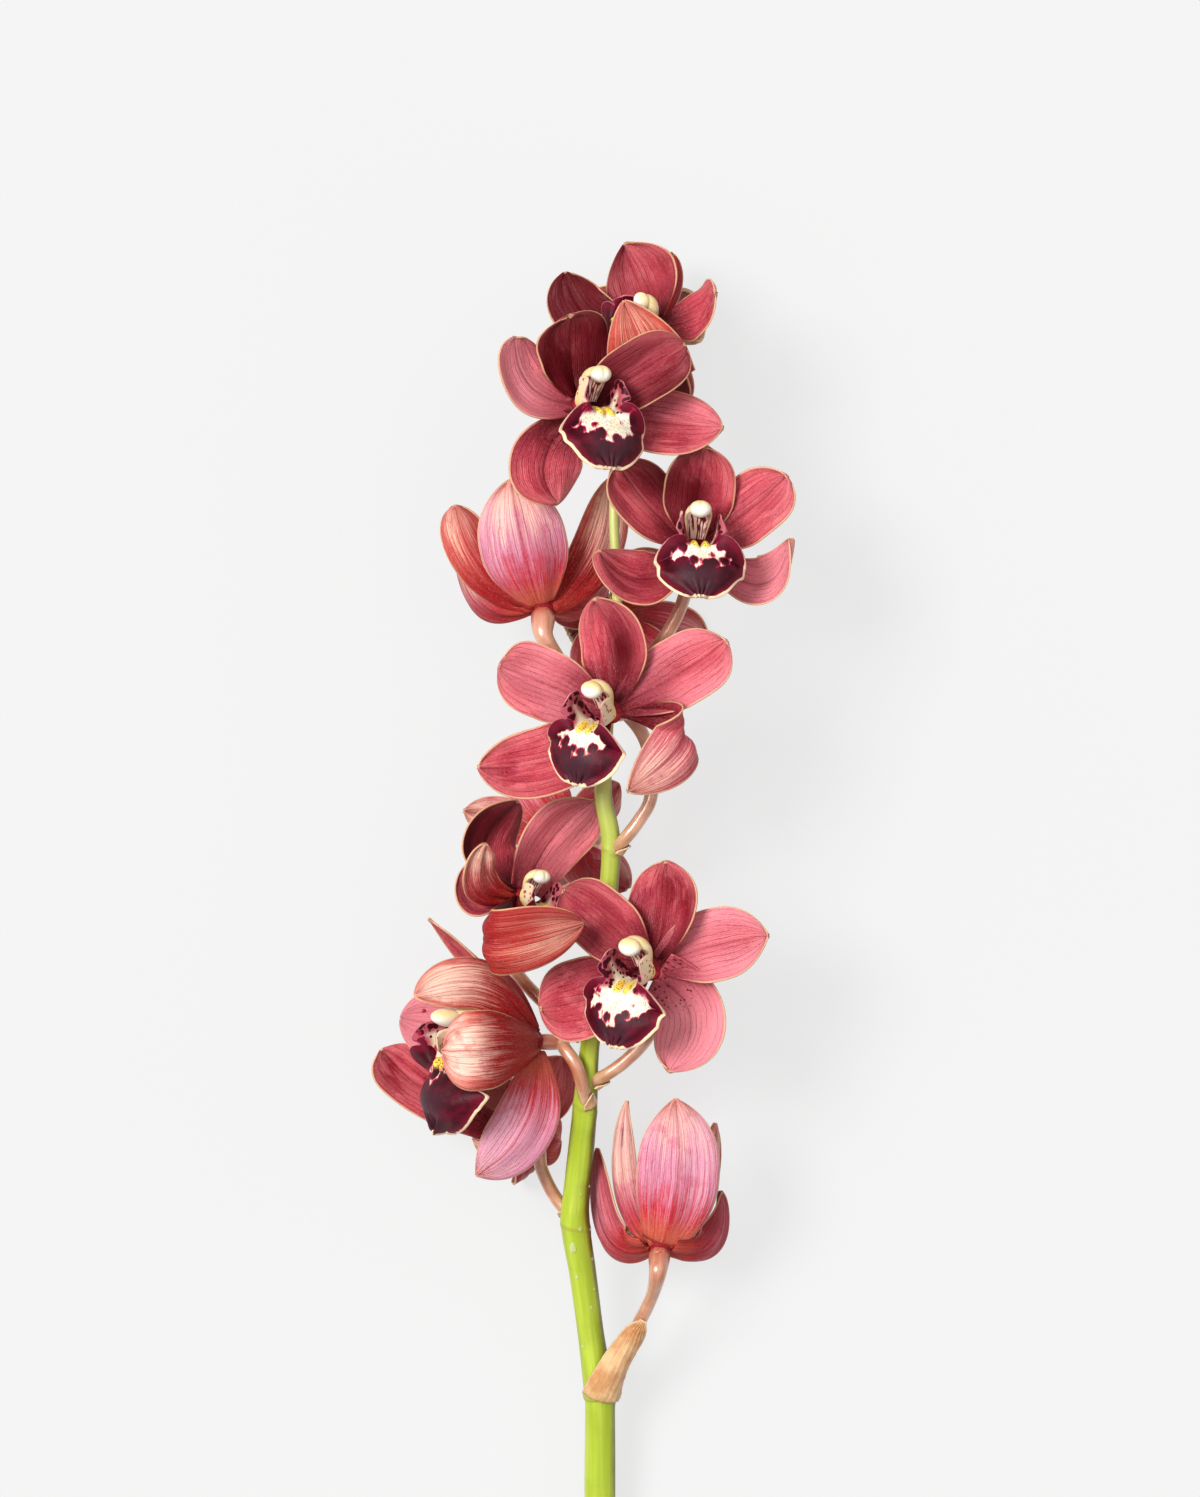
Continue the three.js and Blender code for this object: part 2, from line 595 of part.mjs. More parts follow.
const FINISH = {
  stalk: { color: 0x8f9a4a, roughness: 0.55, metalness: 0 },
  pedicel: { color: 0xb88a6c, roughness: 0.55, metalness: 0 },
  tepal: { color: 0xb4546a, roughness: 0.6, metalness: 0 },
  lip: { color: 0x6e1a28, roughness: 0.55, metalness: 0 },
  column: { color: 0xe8d7a0, roughness: 0.5, metalness: 0 },
  bract: { color: 0xc89a66, roughness: 0.7, metalness: 0 },
};

const part = new THREE.Group();

// Adds a solid to the part as a named mesh. Nothing reaches below the surface that the part lies on.
function place(name, made, finish) {
  const kept = made.boundingBox().min[2] < 0 ? made.trimByPlane([0, 0, 1], 0) : made;
  const { vertProperties, triVerts } = kept.getMesh();
  const geometry = new THREE.BufferGeometry();
  geometry.setAttribute("position", new THREE.Float32BufferAttribute(vertProperties, 3));
  geometry.setIndex(Array.from(triVerts));
  const mesh = new THREE.Mesh(geometry.toNonIndexed(), new THREE.MeshStandardMaterial(FINISH[finish]));
  mesh.geometry.computeVertexNormals();
  mesh.name = name;
  part.add(mesh);
}

place("stalk", stalk(0), "stalk");
const stalkRoom = stalk(GAP);
const WRAPPED = 12; // the bloom whose pedicel the bract wraps

BLOOMS.forEach((form, i) => {
  const name = `bloom_${i + 1}`;
  const facing = vector(form.facing).normalize();
  const up = vector(form.up).projectOnPlane(facing).normalize();
  const side = new THREE.Vector3().crossVectors(up, facing).normalize();
  const { scale = 1 } = form;
  const defaults = { scale, lipScale: scale, stretch: 1, ovary: OVARY_RADIUS, detail: FINE };
  const bloom = { ...defaults, ...form, centre: vector(form.at), facing, up, side };
  const petals = form.tepals.reduce((whole, shape) => whole.add(tepal(bloom, shape)), hub(bloom));
  place(`${name}_tepals`, petals, "tepal");
  place(`${name}_lip`, lip(bloom), "lip");
  place(`${name}_column`, column(bloom), "column");
  place(`${name}_pedicel`, pedicel(bloom, 0).subtract(stalkRoom), "pedicel");
  if (i + 1 === WRAPPED) place("bract", bract().subtract(stalkRoom).subtract(pedicel(bloom, GAP)), "bract");
});

export default part;
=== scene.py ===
"""A cut cymbidium stem lying on its back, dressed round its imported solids.

Lengths are in millimetres until a mesh is written, and the finished meshes are in metres.
"""
import math
import random

import bpy
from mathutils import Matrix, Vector, noise
from mathutils.kdtree import KDTree


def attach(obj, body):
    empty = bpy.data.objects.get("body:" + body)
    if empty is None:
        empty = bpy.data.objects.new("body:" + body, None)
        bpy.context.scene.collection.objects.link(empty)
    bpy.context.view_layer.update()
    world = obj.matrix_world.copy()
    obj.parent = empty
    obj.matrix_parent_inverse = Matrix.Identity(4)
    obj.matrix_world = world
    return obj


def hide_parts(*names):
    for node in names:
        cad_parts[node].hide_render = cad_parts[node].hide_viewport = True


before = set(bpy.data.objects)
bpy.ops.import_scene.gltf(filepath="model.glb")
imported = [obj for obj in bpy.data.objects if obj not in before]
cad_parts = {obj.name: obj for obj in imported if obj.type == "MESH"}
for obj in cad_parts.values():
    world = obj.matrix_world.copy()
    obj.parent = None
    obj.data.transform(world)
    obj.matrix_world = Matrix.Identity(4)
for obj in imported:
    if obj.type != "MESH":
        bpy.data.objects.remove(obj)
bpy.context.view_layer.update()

MM = 0.001
SEED = 11
LOWEST = 0.5  # how near the surface the middle of a petal's or lip's thickness comes


# ---------------------------------------------------------------- shapes

def smoothstep(value, low, high):
    share = min(max((value - low) / (high - low), 0.0), 1.0)
    return share * share * (3 - 2 * share)


def through(points, share):
    """The place on a smooth line through the points, for a share of its length from 0 to 1."""
    spans = len(points) - 1
    place = min(max(share, 0.0), 1.0) * spans
    start = min(int(place), spans - 1)
    s = place - start
    b = Vector(points[start])
    c = Vector(points[start + 1])
    a = Vector(points[start - 1]) if start > 0 else b * 2 - c
    d = Vector(points[start + 2]) if start + 2 < len(points) else c * 2 - b
    return b + ((c - a) * s + (a * 2 - b * 5 + c * 4 - d) * s * s + (b * 3 - a - c * 3 + d) * s ** 3) * 0.5


def heading(points, share, step):
    """The way that a smooth line through the points runs at a share of its length."""
    return through(points, share + step) - through(points, share - step)


def deselect():
    bpy.ops.object.select_all(action="DESELECT")


def pick(piece):
    deselect()
    piece.select_set(True)
    bpy.context.view_layer.objects.active = piece


def mark(piece, key, values):
    """Keeps a value for each point of a piece, for its finish to read."""
    piece.data.attributes.new(key, "FLOAT", "POINT").data.foreach_set("value", values)


def mapped_grid(name, columns, rows, shape):
    """A grid whose points shape(across, along) puts in place, marked with what it tells of them."""
    deselect()
    bpy.ops.mesh.primitive_grid_add(x_subdivisions=columns, y_subdivisions=rows, size=1)
    piece = bpy.context.object
    piece.name = name
    told = []
    for vertex in piece.data.vertices:
        point, facts = shape(vertex.co.x + 0.5, vertex.co.y + 0.5)
        vertex.co = point * MM
        told.append(facts)
    for key in told[0]:
        mark(piece, key, [facts[key] for facts in told])
    piece.data.update()
    return piece


def mapped_ball(segments, rings, shape):
    """A ball whose points shape(point) puts in place, in metres."""
    deselect()
    bpy.ops.mesh.primitive_uv_sphere_add(segments=segments, ring_count=rings, radius=1)
    piece = bpy.context.object
    for vertex in piece.data.vertices:
        vertex.co = shape(vertex.co.copy())
    bpy.ops.object.shade_smooth()
    return piece


def close_tube(piece):
    """Joins a rolled grid's long sides and closes its ends."""
    pick(piece)
    bpy.ops.object.mode_set(mode="EDIT")
    bpy.ops.mesh.select_all(action="SELECT")
    bpy.ops.mesh.remove_doubles(threshold=1e-6)
    bpy.ops.mesh.fill_holes(sides=0)
    bpy.ops.mesh.select_all(action="SELECT")
    bpy.ops.mesh.normals_make_consistent(inside=False)
    bpy.ops.object.mode_set(mode="OBJECT")
    bpy.ops.object.shade_smooth()
    return piece


def apply_all(piece):
    pick(piece)
    for modifier in list(piece.modifiers):
        bpy.ops.object.modifier_apply(modifier=modifier.name)


def thicken(piece, thickest, thinnest, share, inside=1):
    """Gives a sheet its thickness, thickest where share is 1, and marks the face that isn't on its inside."""
    mesh = piece.data
    count = len(mesh.vertices)
    middles = [vertex.co.copy() for vertex in mesh.vertices]
    normals = [vertex.normal.copy() for vertex in mesh.vertices]
    group = piece.vertex_groups.new(name="thick")
    for number in range(count):
        group.add([number], share[number], "REPLACE")
    solidify = piece.modifiers.new("thickness", "SOLIDIFY")
    solidify.thickness = thickest * MM
    solidify.offset = 0
    solidify.vertex_group = "thick"
    solidify.thickness_vertex_group = thinnest / thickest
    apply_all(piece)
    sides = []
    for number, vertex in enumerate(piece.data.vertices):
        middle = number % count
        sides.append(0.0 if (vertex.co - middles[middle]).dot(normals[middle]) * inside > 0 else 1.0)
    mark(piece, "outer", sides)
    piece.vertex_groups.clear()
    bpy.ops.object.shade_smooth()
    return piece


def margin_distance(piece, columns, rows):
    """Marks how far each point of a grid is from its free edges, in millimetres. Its first row isn't free."""
    points = [vertex.co.copy() for vertex in piece.data.vertices]
    wide = columns + 1
    free = [number for number in range(len(points))
            if number >= wide and (number % wide in (0, columns) or number >= wide * rows)]
    tree = KDTree(len(free))
    for number in free:
        tree.insert(points[number], number)
    tree.balance()
    mark(piece, "margin", [tree.find(point)[2] / MM for point in points])


def sheet(name, columns, rows, shape, thickest, thinnest, inside=1):
    """A mapped grid with a thickness, which falls from its middle to its long edges."""
    piece = mapped_grid(name, columns, rows, shape)
    margin_distance(piece, columns, rows)
    share = [1 - abs(2 * (number % (columns + 1)) / columns - 1) ** 2
             for number in range(len(piece.data.vertices))]
    return thicken(piece, thickest, thinnest, share, inside)


def join(pieces, name):
    deselect()
    for piece in pieces:
        piece.select_set(True)
    bpy.context.view_layer.objects.active = pieces[0]
    if len(pieces) > 1:
        bpy.ops.object.join()
    pieces[0].name = name
    pieces[0].data.name = name
    return pieces[0]


def dress(piece, finish, slot, *nodes):
    """Gives a finished piece its material and its place in the part."""
    piece.data.materials.clear()
    piece.data.materials.append(finish)
    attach(piece, "root")
    if nodes:
        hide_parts(*nodes)
    return piece


# ---------------------------------------------------------------- shader building

class Term:
    """A shader socket that takes Python's arithmetic."""

    def __init__(self, finish, socket):
        self.finish = finish
        self.socket = socket

    def __add__(self, other):
        return self.finish.math("ADD", self, other)

    def __sub__(self, other):
        return self.finish.math("SUBTRACT", self, other)

    def __rsub__(self, other):
        return self.finish.math("SUBTRACT", other, self)

    def __mul__(self, other):
        return self.finish.math("MULTIPLY", self, other)

    def __pow__(self, other):
        return self.finish.math("POWER", self, other)

    def __abs__(self):
        return self.finish.math("ABSOLUTE", self)

    __radd__ = __add__
    __rmul__ = __mul__


class Finish:
    """One material, with the node kinds that this flower's finishes are made of."""

    def __init__(self, name, **constants):
        self.material = bpy.data.materials.new(name)
        self.material.use_nodes = True
        self.tree = self.material.node_tree
        self.skin = self.tree.nodes["Principled BSDF"]
        for key, value in constants.items():
            self.skin.inputs[key.replace("_", " ")].default_value = value

    def add(self, kind, settings=None, inputs=None, output=0):
        node = self.tree.nodes.new(kind)
        for key, value in (settings or {}).items():
            setattr(node, key, value)
        for key, value in (inputs or {}).items():
            socket = node.inputs[key]
            if isinstance(value, Term):
                self.tree.links.new(value.socket, socket)
            else:
                socket.default_value = value
        return Term(self, node.outputs[output])

    def math(self, operation, *values):
        return self.add("ShaderNodeMath", {"operation": operation}, dict(enumerate(values)))

    def attribute(self, name):
        return self.add("ShaderNodeAttribute", {"attribute_name": name}, output="Fac")

    def place(self):
        return self.add("ShaderNodeTexCoord", output="Object")

    def across_along(self):
        """How far across and along its grid a place is, from 0 to 1."""
        uv = self.add("ShaderNodeUVMap", {"uv_map": "UVMap"})
        parts = self.add("ShaderNodeSeparateXYZ", inputs={0: uv})
        return parts, Term(self, parts.socket.node.outputs[1])

    def combine(self, x, y, z=0.0):
        return self.add("ShaderNodeCombineXYZ", inputs={0: x, 1: y, 2: z})

    def noise(self, where, scale, detail=3.0, roughness=0.5):
        return self.add("ShaderNodeTexNoise", inputs={"Vector": where, "Scale": scale, "Detail": detail,
                                                      "Roughness": roughness})

    def cells(self, where, scale):
        return self.add("ShaderNodeTexVoronoi", inputs={"Vector": where, "Scale": scale})

    def step(self, value, low, high, start=0.0, end=1.0):
        return self.add("ShaderNodeMapRange", {"interpolation_type": "SMOOTHSTEP"},
                        {0: value, 1: low, 2: high, 3: start, 4: end})

    def mix(self, share, *colours):
        a, b = [(*colour, 1) if isinstance(colour, tuple) else colour for colour in colours]
        return self.add("ShaderNodeMix", {"data_type": "RGBA"}, {0: share, 6: a, 7: b}, output=2)

    def finish(self, colour, height=None, depth=0.0, roughness=None, alpha=None):
        """Links what changes over the surface. Depth is its relief's, in millimetres."""
        changing = {"Base Color": colour, "Roughness": roughness, "Alpha": alpha}
        if height is not None:
            relief = {"Height": height, "Distance": depth * MM, "Strength": 1.0}
            changing["Normal"] = self.add("ShaderNodeBump", inputs=relief)
        for key, value in changing.items():
            if value is not None:
                self.tree.links.new(value.socket, self.skin.inputs[key])
        return self.material


def petal_finish():
    """Waxy petals: rose inside, paler and streaked outside, with parallel veins and a tan margin."""
    f = Finish("waxy_petal", Roughness=0.36, Specular_IOR_Level=0.15, Subsurface_Weight=0.05,
               Subsurface_Radius=(0.004, 0.001, 0.001), Subsurface_Scale=0.3)
    where = f.place()
    u, along = f.across_along()
    across = u * 2.0 - 1.0
    outer = f.attribute("outer")
    tone = f.attribute("tone")
    warm = f.attribute("warm")
    pale = f.attribute("pale")
    freckle = f.attribute("freckle")
    margin = f.attribute("margin")
    patches = f.noise(where, 60.0, 3.0)
    clouds = f.noise(where, 150.0, 4.0, 0.6)
    cells = f.noise(where, 1500.0, 2.0)
    wander = (f.noise(f.combine(across * 1.2, along * 1.6, tone * 4.0), 2.4, 2.0) - 0.5) * 0.8
    main = abs(f.math("SINE", (across * 6.5 + wander) * math.pi))
    fine = abs(f.math("SINE", (across * 19.5 + wander * 2.6) * math.pi))
    vary = f.noise(f.combine(across * 8.0, along * 2.2, tone * 3.0), 1.6, 2.0)
    folds = f.noise(f.combine(across * 2.6, along * 0.8, tone * 4.0), 1.6, 2.0)
    mealy = f.noise(f.combine(across * 30.0, along * 12.0, tone * 2.0), 2.0, 3.0, 0.7)
    lines = (1.0 - f.step(main, 0.0, 0.46)) * f.step(vary, 0.3, 0.55, 0.3, 1.0)
    hairs = (1.0 - f.step(fine, 0.0, 0.8)) * 0.4
    veins = f.math("MAXIMUM", lines, hairs)
    midrib = 1.0 - f.step(abs(across + wander * 0.05), 0.0, 0.09)
    # Share of the lighter colour: a paler petal, and also painted light on a petal that lies in shade.
    light = f.step(tone, 0.0, 1.4) * 0.95
    # inner face
    inner = f.mix(f.step(patches, 0.33, 0.62), (0.36, 0.020, 0.040), (0.58, 0.085, 0.115))
    # Painted highlight along the ridges of the lengthwise folds.
    inner = f.mix(f.step(folds, 0.46, 0.66) * f.step(along, 0.15, 0.6) * 0.8, inner, (0.76, 0.19, 0.215))
    inner = f.mix(f.step(margin, 5.5, 0.6) * f.step(along, 0.3, 0.7) * 0.5, inner, (0.78, 0.24, 0.245))
    inner = f.mix(f.step(clouds, 0.5, 0.72) * 0.4, inner, (0.42, 0.045, 0.10))
    inner = f.mix(light, inner, (0.82, 0.31, 0.355))
    # The root of the face: its own deep red, and painted shade where it lies deep in the bloom.
    dark_root_and_shade = f.mix(light, (0.11, 0.002, 0.008), (0.34, 0.020, 0.050))
    inner = f.mix(f.step(along, 0.45, 0.0) * (0.92 - light * 0.2), inner, dark_root_and_shade)
    inner = f.mix(midrib * f.step(along, 1.0, 0.3) * 0.22, inner, (0.16, 0.005, 0.016))
    inner = f.mix(veins * (0.62 - light * 0.3), inner, (0.23, 0.009, 0.026))
    inner = f.mix(f.step(mealy, 0.5, 0.7) * 0.3, inner, (0.80, 0.27, 0.29))
    specks = f.step(0.3 - f.cells(f.combine(across * 9.0, along * 26.0), 1.0), 0.0, 0.06)
    specks = specks * f.step(along + abs(across) * 0.3, 0.4, 0.3) * freckle
    inner = f.mix(specks * 0.85, inner, (0.10, 0.004, 0.008))
    # outer face
    tip = f.mix(warm, (0.84, 0.52, 0.44), (0.93, 0.62, 0.47))
    middle = f.mix(warm, (0.64, 0.27, 0.39), (0.63, 0.078, 0.040))
    low = f.mix(warm, (0.60, 0.026, 0.034), (0.33, 0.006, 0.008))
    grain = f.noise(f.combine(across * 17.0, along * 1.4, tone * 2.0), 1.6, 3.0)
    ragged = along + (grain - 0.5) * 0.8
    back = f.mix(f.step(ragged + (patches - 0.5) * 0.4 + pale * 0.3, 0.72, 1.1) * pale, middle, tip)
    streaks = f.step(grain, 0.48, 0.62) * f.step(along, 0.2, 0.7) * (pale * 0.5 + 0.1)
    back = f.mix(streaks, back, f.mix(warm, (0.86, 0.64, 0.58), (0.95, 0.74, 0.54)))
    back = f.mix(light, back, f.mix(warm, (0.92, 0.58, 0.66), (0.94, 0.66, 0.52)))
    back = f.mix(f.step(abs(across) + (folds - 0.5) * 0.7, 0.5, 0.95) * (warm * 0.35 + 0.5), back, middle)
    back = f.mix(f.step(clouds, 0.52, 0.68) * 0.45, back, f.mix(warm, (0.60, 0.10, 0.20), (0.50, 0.07, 0.05)))
    back = f.mix(f.step(ragged + (vary - 0.5) * 0.24 + 0.02 - warm * 0.2, 0.5, 0.08), back, low)
    back = f.mix(f.step(along + (vary - 0.5) * 0.16, 0.8, 0.96) * 0.6, back, (0.70, 0.21, 0.18))
    back = f.mix(f.step(along, 0.22, 0.05) * (0.5 - warm * 0.5), back, (0.76, 0.27, 0.14))
    vein_colour = f.mix(warm, (0.46, 0.040, 0.06), (0.42, 0.036, 0.020))
    back = f.mix(veins * (warm * 0.3 + 0.55) * (1.15 - pale * 0.3), back, vein_colour)
    back = f.mix(midrib * 0.4, back, (0.38, 0.02, 0.045))
    back = f.mix(f.step(mealy, 0.5, 0.7) * (0.2 - warm * 0.12), back, (0.90, 0.60, 0.52))
    colour = f.mix(outer, inner, back)
    colour = f.mix(f.step(cells, 0.52, 0.72) * 0.16, colour, (0.84, 0.40, 0.40))
    colour = f.mix(f.step(cells, 0.46, 0.28) * 0.16, colour, (0.22, 0.010, 0.022))
    # Darker where the value falls below 0: partly the petal's own deep red, partly painted shade.
    darkest = f.mix(outer, (0.11, 0.001, 0.006), (0.30, 0.008, 0.016))
    colour = f.mix(f.step(tone, 0.0, -1.0) * 0.92, colour, darkest)
    rim_line = (1.0 - f.step(margin + (clouds - 0.5) * 0.5, 0.15, 0.55)) * f.step(along, 0.1, 0.28)
    colour = f.mix(rim_line * 0.8, colour, (0.75, 0.49, 0.29))
    height = veins * -0.6 + cells * 0.3 - midrib * 0.8 + clouds * 1.2 + folds * 1.5
    return f.finish(colour, roughness=f.step(patches, 0.2, 0.8, 0.3, 0.44), height=height, depth=0.2)


def lip_finish():
    """Cream, with a yellow callus, spotted side lobes and a velvety near-black mid lobe in a cream rim."""
    f = Finish("velvet_lip", Roughness=0.45, Specular_IOR_Level=0.25)
    where = f.place()
    outer = f.attribute("outer")
    margin = f.attribute("margin")
    side = f.attribute("side")
    down = f.attribute("down")
    callus = f.attribute("callus")
    deep = f.attribute("deep")
    clouds = f.noise(where, 260.0, 3.0)
    drift = f.noise(where, 420.0, 3.0) - 0.5
    spots = f.cells(where, 560.0)
    specks = f.cells(where, 1500.0)
    rays = f.noise(f.combine(side * 7.0, down * 1.4), 2.0, 2.0) - 0.5
    cream = f.mix(f.step(clouds, 0.35, 0.7), (0.92, 0.86, 0.62), (0.94, 0.88, 0.78))
    flush = f.step(down + rays * 0.2, 0.42, 0.6)
    pattern = f.mix(flush * 0.5 * f.step(specks, 0.36, 0.26), cream, (0.52, 0.03, 0.11))
    # side lobes: round spots that crowd together towards the edge
    crowd = f.step(margin, 6.5, 0.8) * (1.0 - f.step(down, 0.5, 0.58))
    spot = f.step(crowd * 0.48 + 0.14 - spots, 0.0, 0.08) * f.step(margin, 9.0, 6.0)
    pattern = f.mix(f.step(crowd, 0.15, 0.8) * 0.9, pattern, (0.42, 0.028, 0.085))
    pattern = f.mix(spot * (1.0 - f.step(down, 0.5, 0.56)), pattern, (0.075, 0.001, 0.010))
    # mid lobe: dark, with cream flames that reach down from the callus
    blots = f.cells(where, 300.0)
    flame = down + rays * 0.12 - (1.0 - abs(side)) ** 1.6 * 0.16 + drift * 0.04 - blots * 0.26
    flame = flame + deep + f.step(margin, 6.0, 1.0) * f.step(down, 0.34, 0.5) * 0.2
    dark = f.step(flame, 0.435, 0.447)
    halo = f.step(flame, 0.39, 0.435)
    velvet = f.mix(f.step(clouds, 0.4, 0.75), (0.060, 0.001, 0.008), (0.17, 0.003, 0.024))
    velvet = f.mix(f.step(margin, 3.4, 1.2) * 0.6, velvet, (0.24, 0.006, 0.035))
    # Painted highlight of the velvet down the middle of the mid lobe.
    painted_velvet_highlight = f.step(down, 0.6, 0.8) * (1.0 - f.step(abs(side), 0.25, 0.7))
    velvet = f.mix(painted_velvet_highlight * 0.6, velvet, (0.085, 0.035, 0.05))
    pattern = f.mix(halo, pattern, (0.46, 0.012, 0.075))
    pattern = f.mix(dark, pattern, velvet)
    yellow = f.mix(f.step(specks, 0.34, 0.24) * 0.9, (0.93, 0.66, 0.10), (0.16, 0.01, 0.02))
    pattern = f.mix(callus, pattern, yellow)
    rim_width = f.step(down, 0.5, 0.6, 0.35, 1.15)
    rim = f.step(margin + drift * 0.7, rim_width, rim_width * 0.72)
    pattern = f.mix(rim * f.step(down, 0.44, 0.6), pattern, (0.90, 0.70, 0.48))
    pattern = f.mix(rim * (1.0 - f.step(down, 0.44, 0.6)) * 0.8, pattern, (0.50, 0.12, 0.19))
    # underside
    under = f.mix(f.step(down, 0.3, 0.0), (0.86, 0.72, 0.50), (0.90, 0.74, 0.24))
    showing = f.step(0.32 - spots, 0.0, 0.06) * f.step(margin, 7.0, 2.0)
    under = f.mix(showing * 0.85, under, (0.40, 0.04, 0.06))
    under = f.mix(f.step(down, 0.5, 0.7) * 0.8, under, (0.36, 0.08, 0.12))
    under = f.mix(rim, under, (0.88, 0.66, 0.46))
    colour = f.mix(outer, pattern, under)
    height = clouds * 0.5 + f.noise(where, 2600.0, 2.0) * 0.6
    return f.finish(colour, height=height, depth=0.18)


def column_finish():
    """The column: cream, flushed at its foot, striped maroon underneath, with a white cap."""
    f = Finish("waxy_column", Roughness=0.3, Specular_IOR_Level=0.4, Subsurface_Weight=0.15,
               Subsurface_Radius=(0.003, 0.002, 0.001), Subsurface_Scale=0.3)
    where = f.place()
    cap = f.attribute("cap")
    under = f.attribute("under")
    u, along = f.across_along()
    clouds = f.noise(where, 240.0, 3.0)
    colour = f.mix(f.step(clouds, 0.3, 0.75), (0.84, 0.66, 0.32), (0.90, 0.79, 0.52))
    colour = f.mix(f.step(along, 0.45, 0.0) * 0.6, colour, (0.62, 0.22, 0.16))
    stripes = f.noise(f.combine(u * 30.0, along * 2.6), 1.0, 2.0)
    colour = f.mix(f.step(under, 0.1, 0.5), colour, (0.95, 0.76, 0.66))
    colour = f.mix(f.step(stripes, 0.5, 0.53) * f.step(under, 0.15, 0.45), colour, (0.24, 0.008, 0.018))
    colour = f.mix(cap, colour, (0.92, 0.88, 0.78))
    return f.finish(colour, height=clouds, depth=0.12)


def pedicel_finish():
    """Smooth pinkish brown stalks, greener at the foot and redder by the bloom, with fine streaks."""
    f = Finish("pedicel_skin", Roughness=0.3, Coat_Weight=1.0, Coat_Roughness=0.28, Coat_IOR=1.8)
    where = f.place()
    u, along = f.across_along()
    streaks = f.noise(f.combine(u * 22.0, along * 2.2), 1.0, 3.0)
    clouds = f.noise(where, 160.0, 3.0)
    colour = f.mix(f.step(clouds, 0.3, 0.7), (0.48, 0.18, 0.08), (0.71, 0.40, 0.26))
    colour = f.mix(f.step(streaks, 0.45, 0.7) * 0.5, colour, (0.84, 0.56, 0.43))
    colour = f.mix(f.step(along, 0.3, 0.0) * 0.5, colour, (0.52, 0.38, 0.18))
    colour = f.mix(f.step(along, 0.55, 0.9) * 0.6, colour, (0.50, 0.12, 0.09))
    return f.finish(colour, height=streaks + clouds * 0.4, depth=0.12)


def stalk_finish():
    """The fleshy green stalk: lengthwise streaks, brown node scars, and painted shade and a painted brown
    reflection down its unlit side.
    """
    f = Finish("stalk_skin", Roughness=0.3, Specular_IOR_Level=0.5, Subsurface_Weight=0.06,
               Subsurface_Radius=(0.002, 0.003, 0.001), Subsurface_Scale=0.3)
    where = f.place()
    u, along = f.across_along()
    scar = f.attribute("scar")
    cut = f.attribute("cut")
    flank = f.attribute("flank")
    streaks = f.noise(f.combine(u * 26.0, along * 12.0), 1.0, 3.0)
    broad = f.noise(f.combine(u * 6.0, along * 9.0), 1.0, 2.0)
    clouds = f.noise(where, 90.0, 4.0)
    colour = f.mix(f.step(broad, 0.35, 0.65), (0.38, 0.47, 0.030), (0.47, 0.57, 0.060))
    colour = f.mix(f.step(streaks, 0.45, 0.75) * 0.35, colour, (0.66, 0.72, 0.18))
    colour = f.mix(f.step(clouds, 0.5, 0.8) * 0.35, colour, (0.26, 0.31, 0.03))
    colour = f.mix(f.step(along, 0.62, 0.8) * 0.6, colour, (0.66, 0.66, 0.32))
    # Painted shade down the side away from the key light, with a painted brown reflection of the red blooms,
    # which reaches further round along a middle stretch of the stalk.
    high = f.step(along, 0.32, 0.46) * (1.0 - f.step(along, 0.6, 0.7))
    colour = f.mix(f.step(flank + (clouds - 0.5) * 0.3, 0.1, 0.9) * 0.6, colour, (0.20, 0.22, 0.015))
    shade_and_reflection = flank + (clouds - 0.5) * 0.4 + high * 0.25
    colour = f.mix(f.step(shade_and_reflection, 0.4, 0.8) * 0.8, colour, (0.13, 0.09, 0.014))
    colour = f.mix(f.step(scar + (clouds - 0.5) * 0.5, 0.35, 0.9) * 0.3, colour, (0.30, 0.19, 0.05))
    pith = f.mix(f.step(f.cells(where, 900.0), 0.12, 0.3), (0.32, 0.34, 0.12), (0.74, 0.74, 0.46))
    colour = f.mix(cut, colour, pith)
    return f.finish(colour, height=streaks * 0.6 + clouds * 0.4, depth=0.2)


def bract_finish():
    """A dry papery bract with darker lengthwise fibres."""
    f = Finish("papery_bract", Roughness=0.34, Coat_Weight=0.25, Coat_Roughness=0.2)
    where = f.place()
    u, along = f.across_along()
    margin = f.attribute("margin")
    fibres = f.noise(f.combine(u * 46.0, along * 2.4), 1.0, 3.0, 0.6)
    clouds = f.noise(where, 150.0, 4.0)
    colour = f.mix(f.step(clouds, 0.3, 0.7), (0.60, 0.29, 0.12), (0.84, 0.56, 0.31))
    colour = f.mix(f.step(fibres, 0.5, 0.7) * 0.5, colour, (0.50, 0.20, 0.08))
    colour = f.mix(f.step(along + (clouds - 0.5) * 0.3, 0.16, 0.0) * 0.6, colour, (0.46, 0.30, 0.10))
    colour = f.mix(f.step(margin, 0.7, 0.1) * 0.7, colour, (0.84, 0.66, 0.46))
    return f.finish(colour, height=fibres + clouds * 0.5, depth=0.35)


def water_finish():
    """Clear beads of water, more solid where they curve away."""
    f = Finish("water", Roughness=0.04, Specular_IOR_Level=1.0, IOR=1.5)
    curve = f.add("ShaderNodeLayerWeight", inputs={"Blend": 0.35}, output="Facing")
    refracted_red = f.attribute("refracted_red")
    # Painted refraction: deep red where a red petal shows through a bead, which also makes the bead more
    # solid.
    colour = f.mix(refracted_red, (0.97, 1.0, 0.92), (0.50, 0.006, 0.025))
    return f.finish(colour, alpha=curve * 0.5 + refracted_red * 0.45 + 0.2)


# ---------------------------------------------------------------- sepals and petals

PETAL_COLUMNS = 26
PETAL_ROWS = 40
PETAL_THICKNESS = (1.0, 0.45)  # along its middle and at its margin
PETAL_HALF_LEAST = 0.25  # its half width at the very tip
HUB_RADIUS = 4.2  # where a bloom's sepals and petals meet
HUB_HALF_DEPTH = 2.2
HUB_LOOK = {"tone": -0.9, "warm": 0.4, "pale": 0.0, "freckle": 0.0, "margin": 9.0, "outer": 1.0}


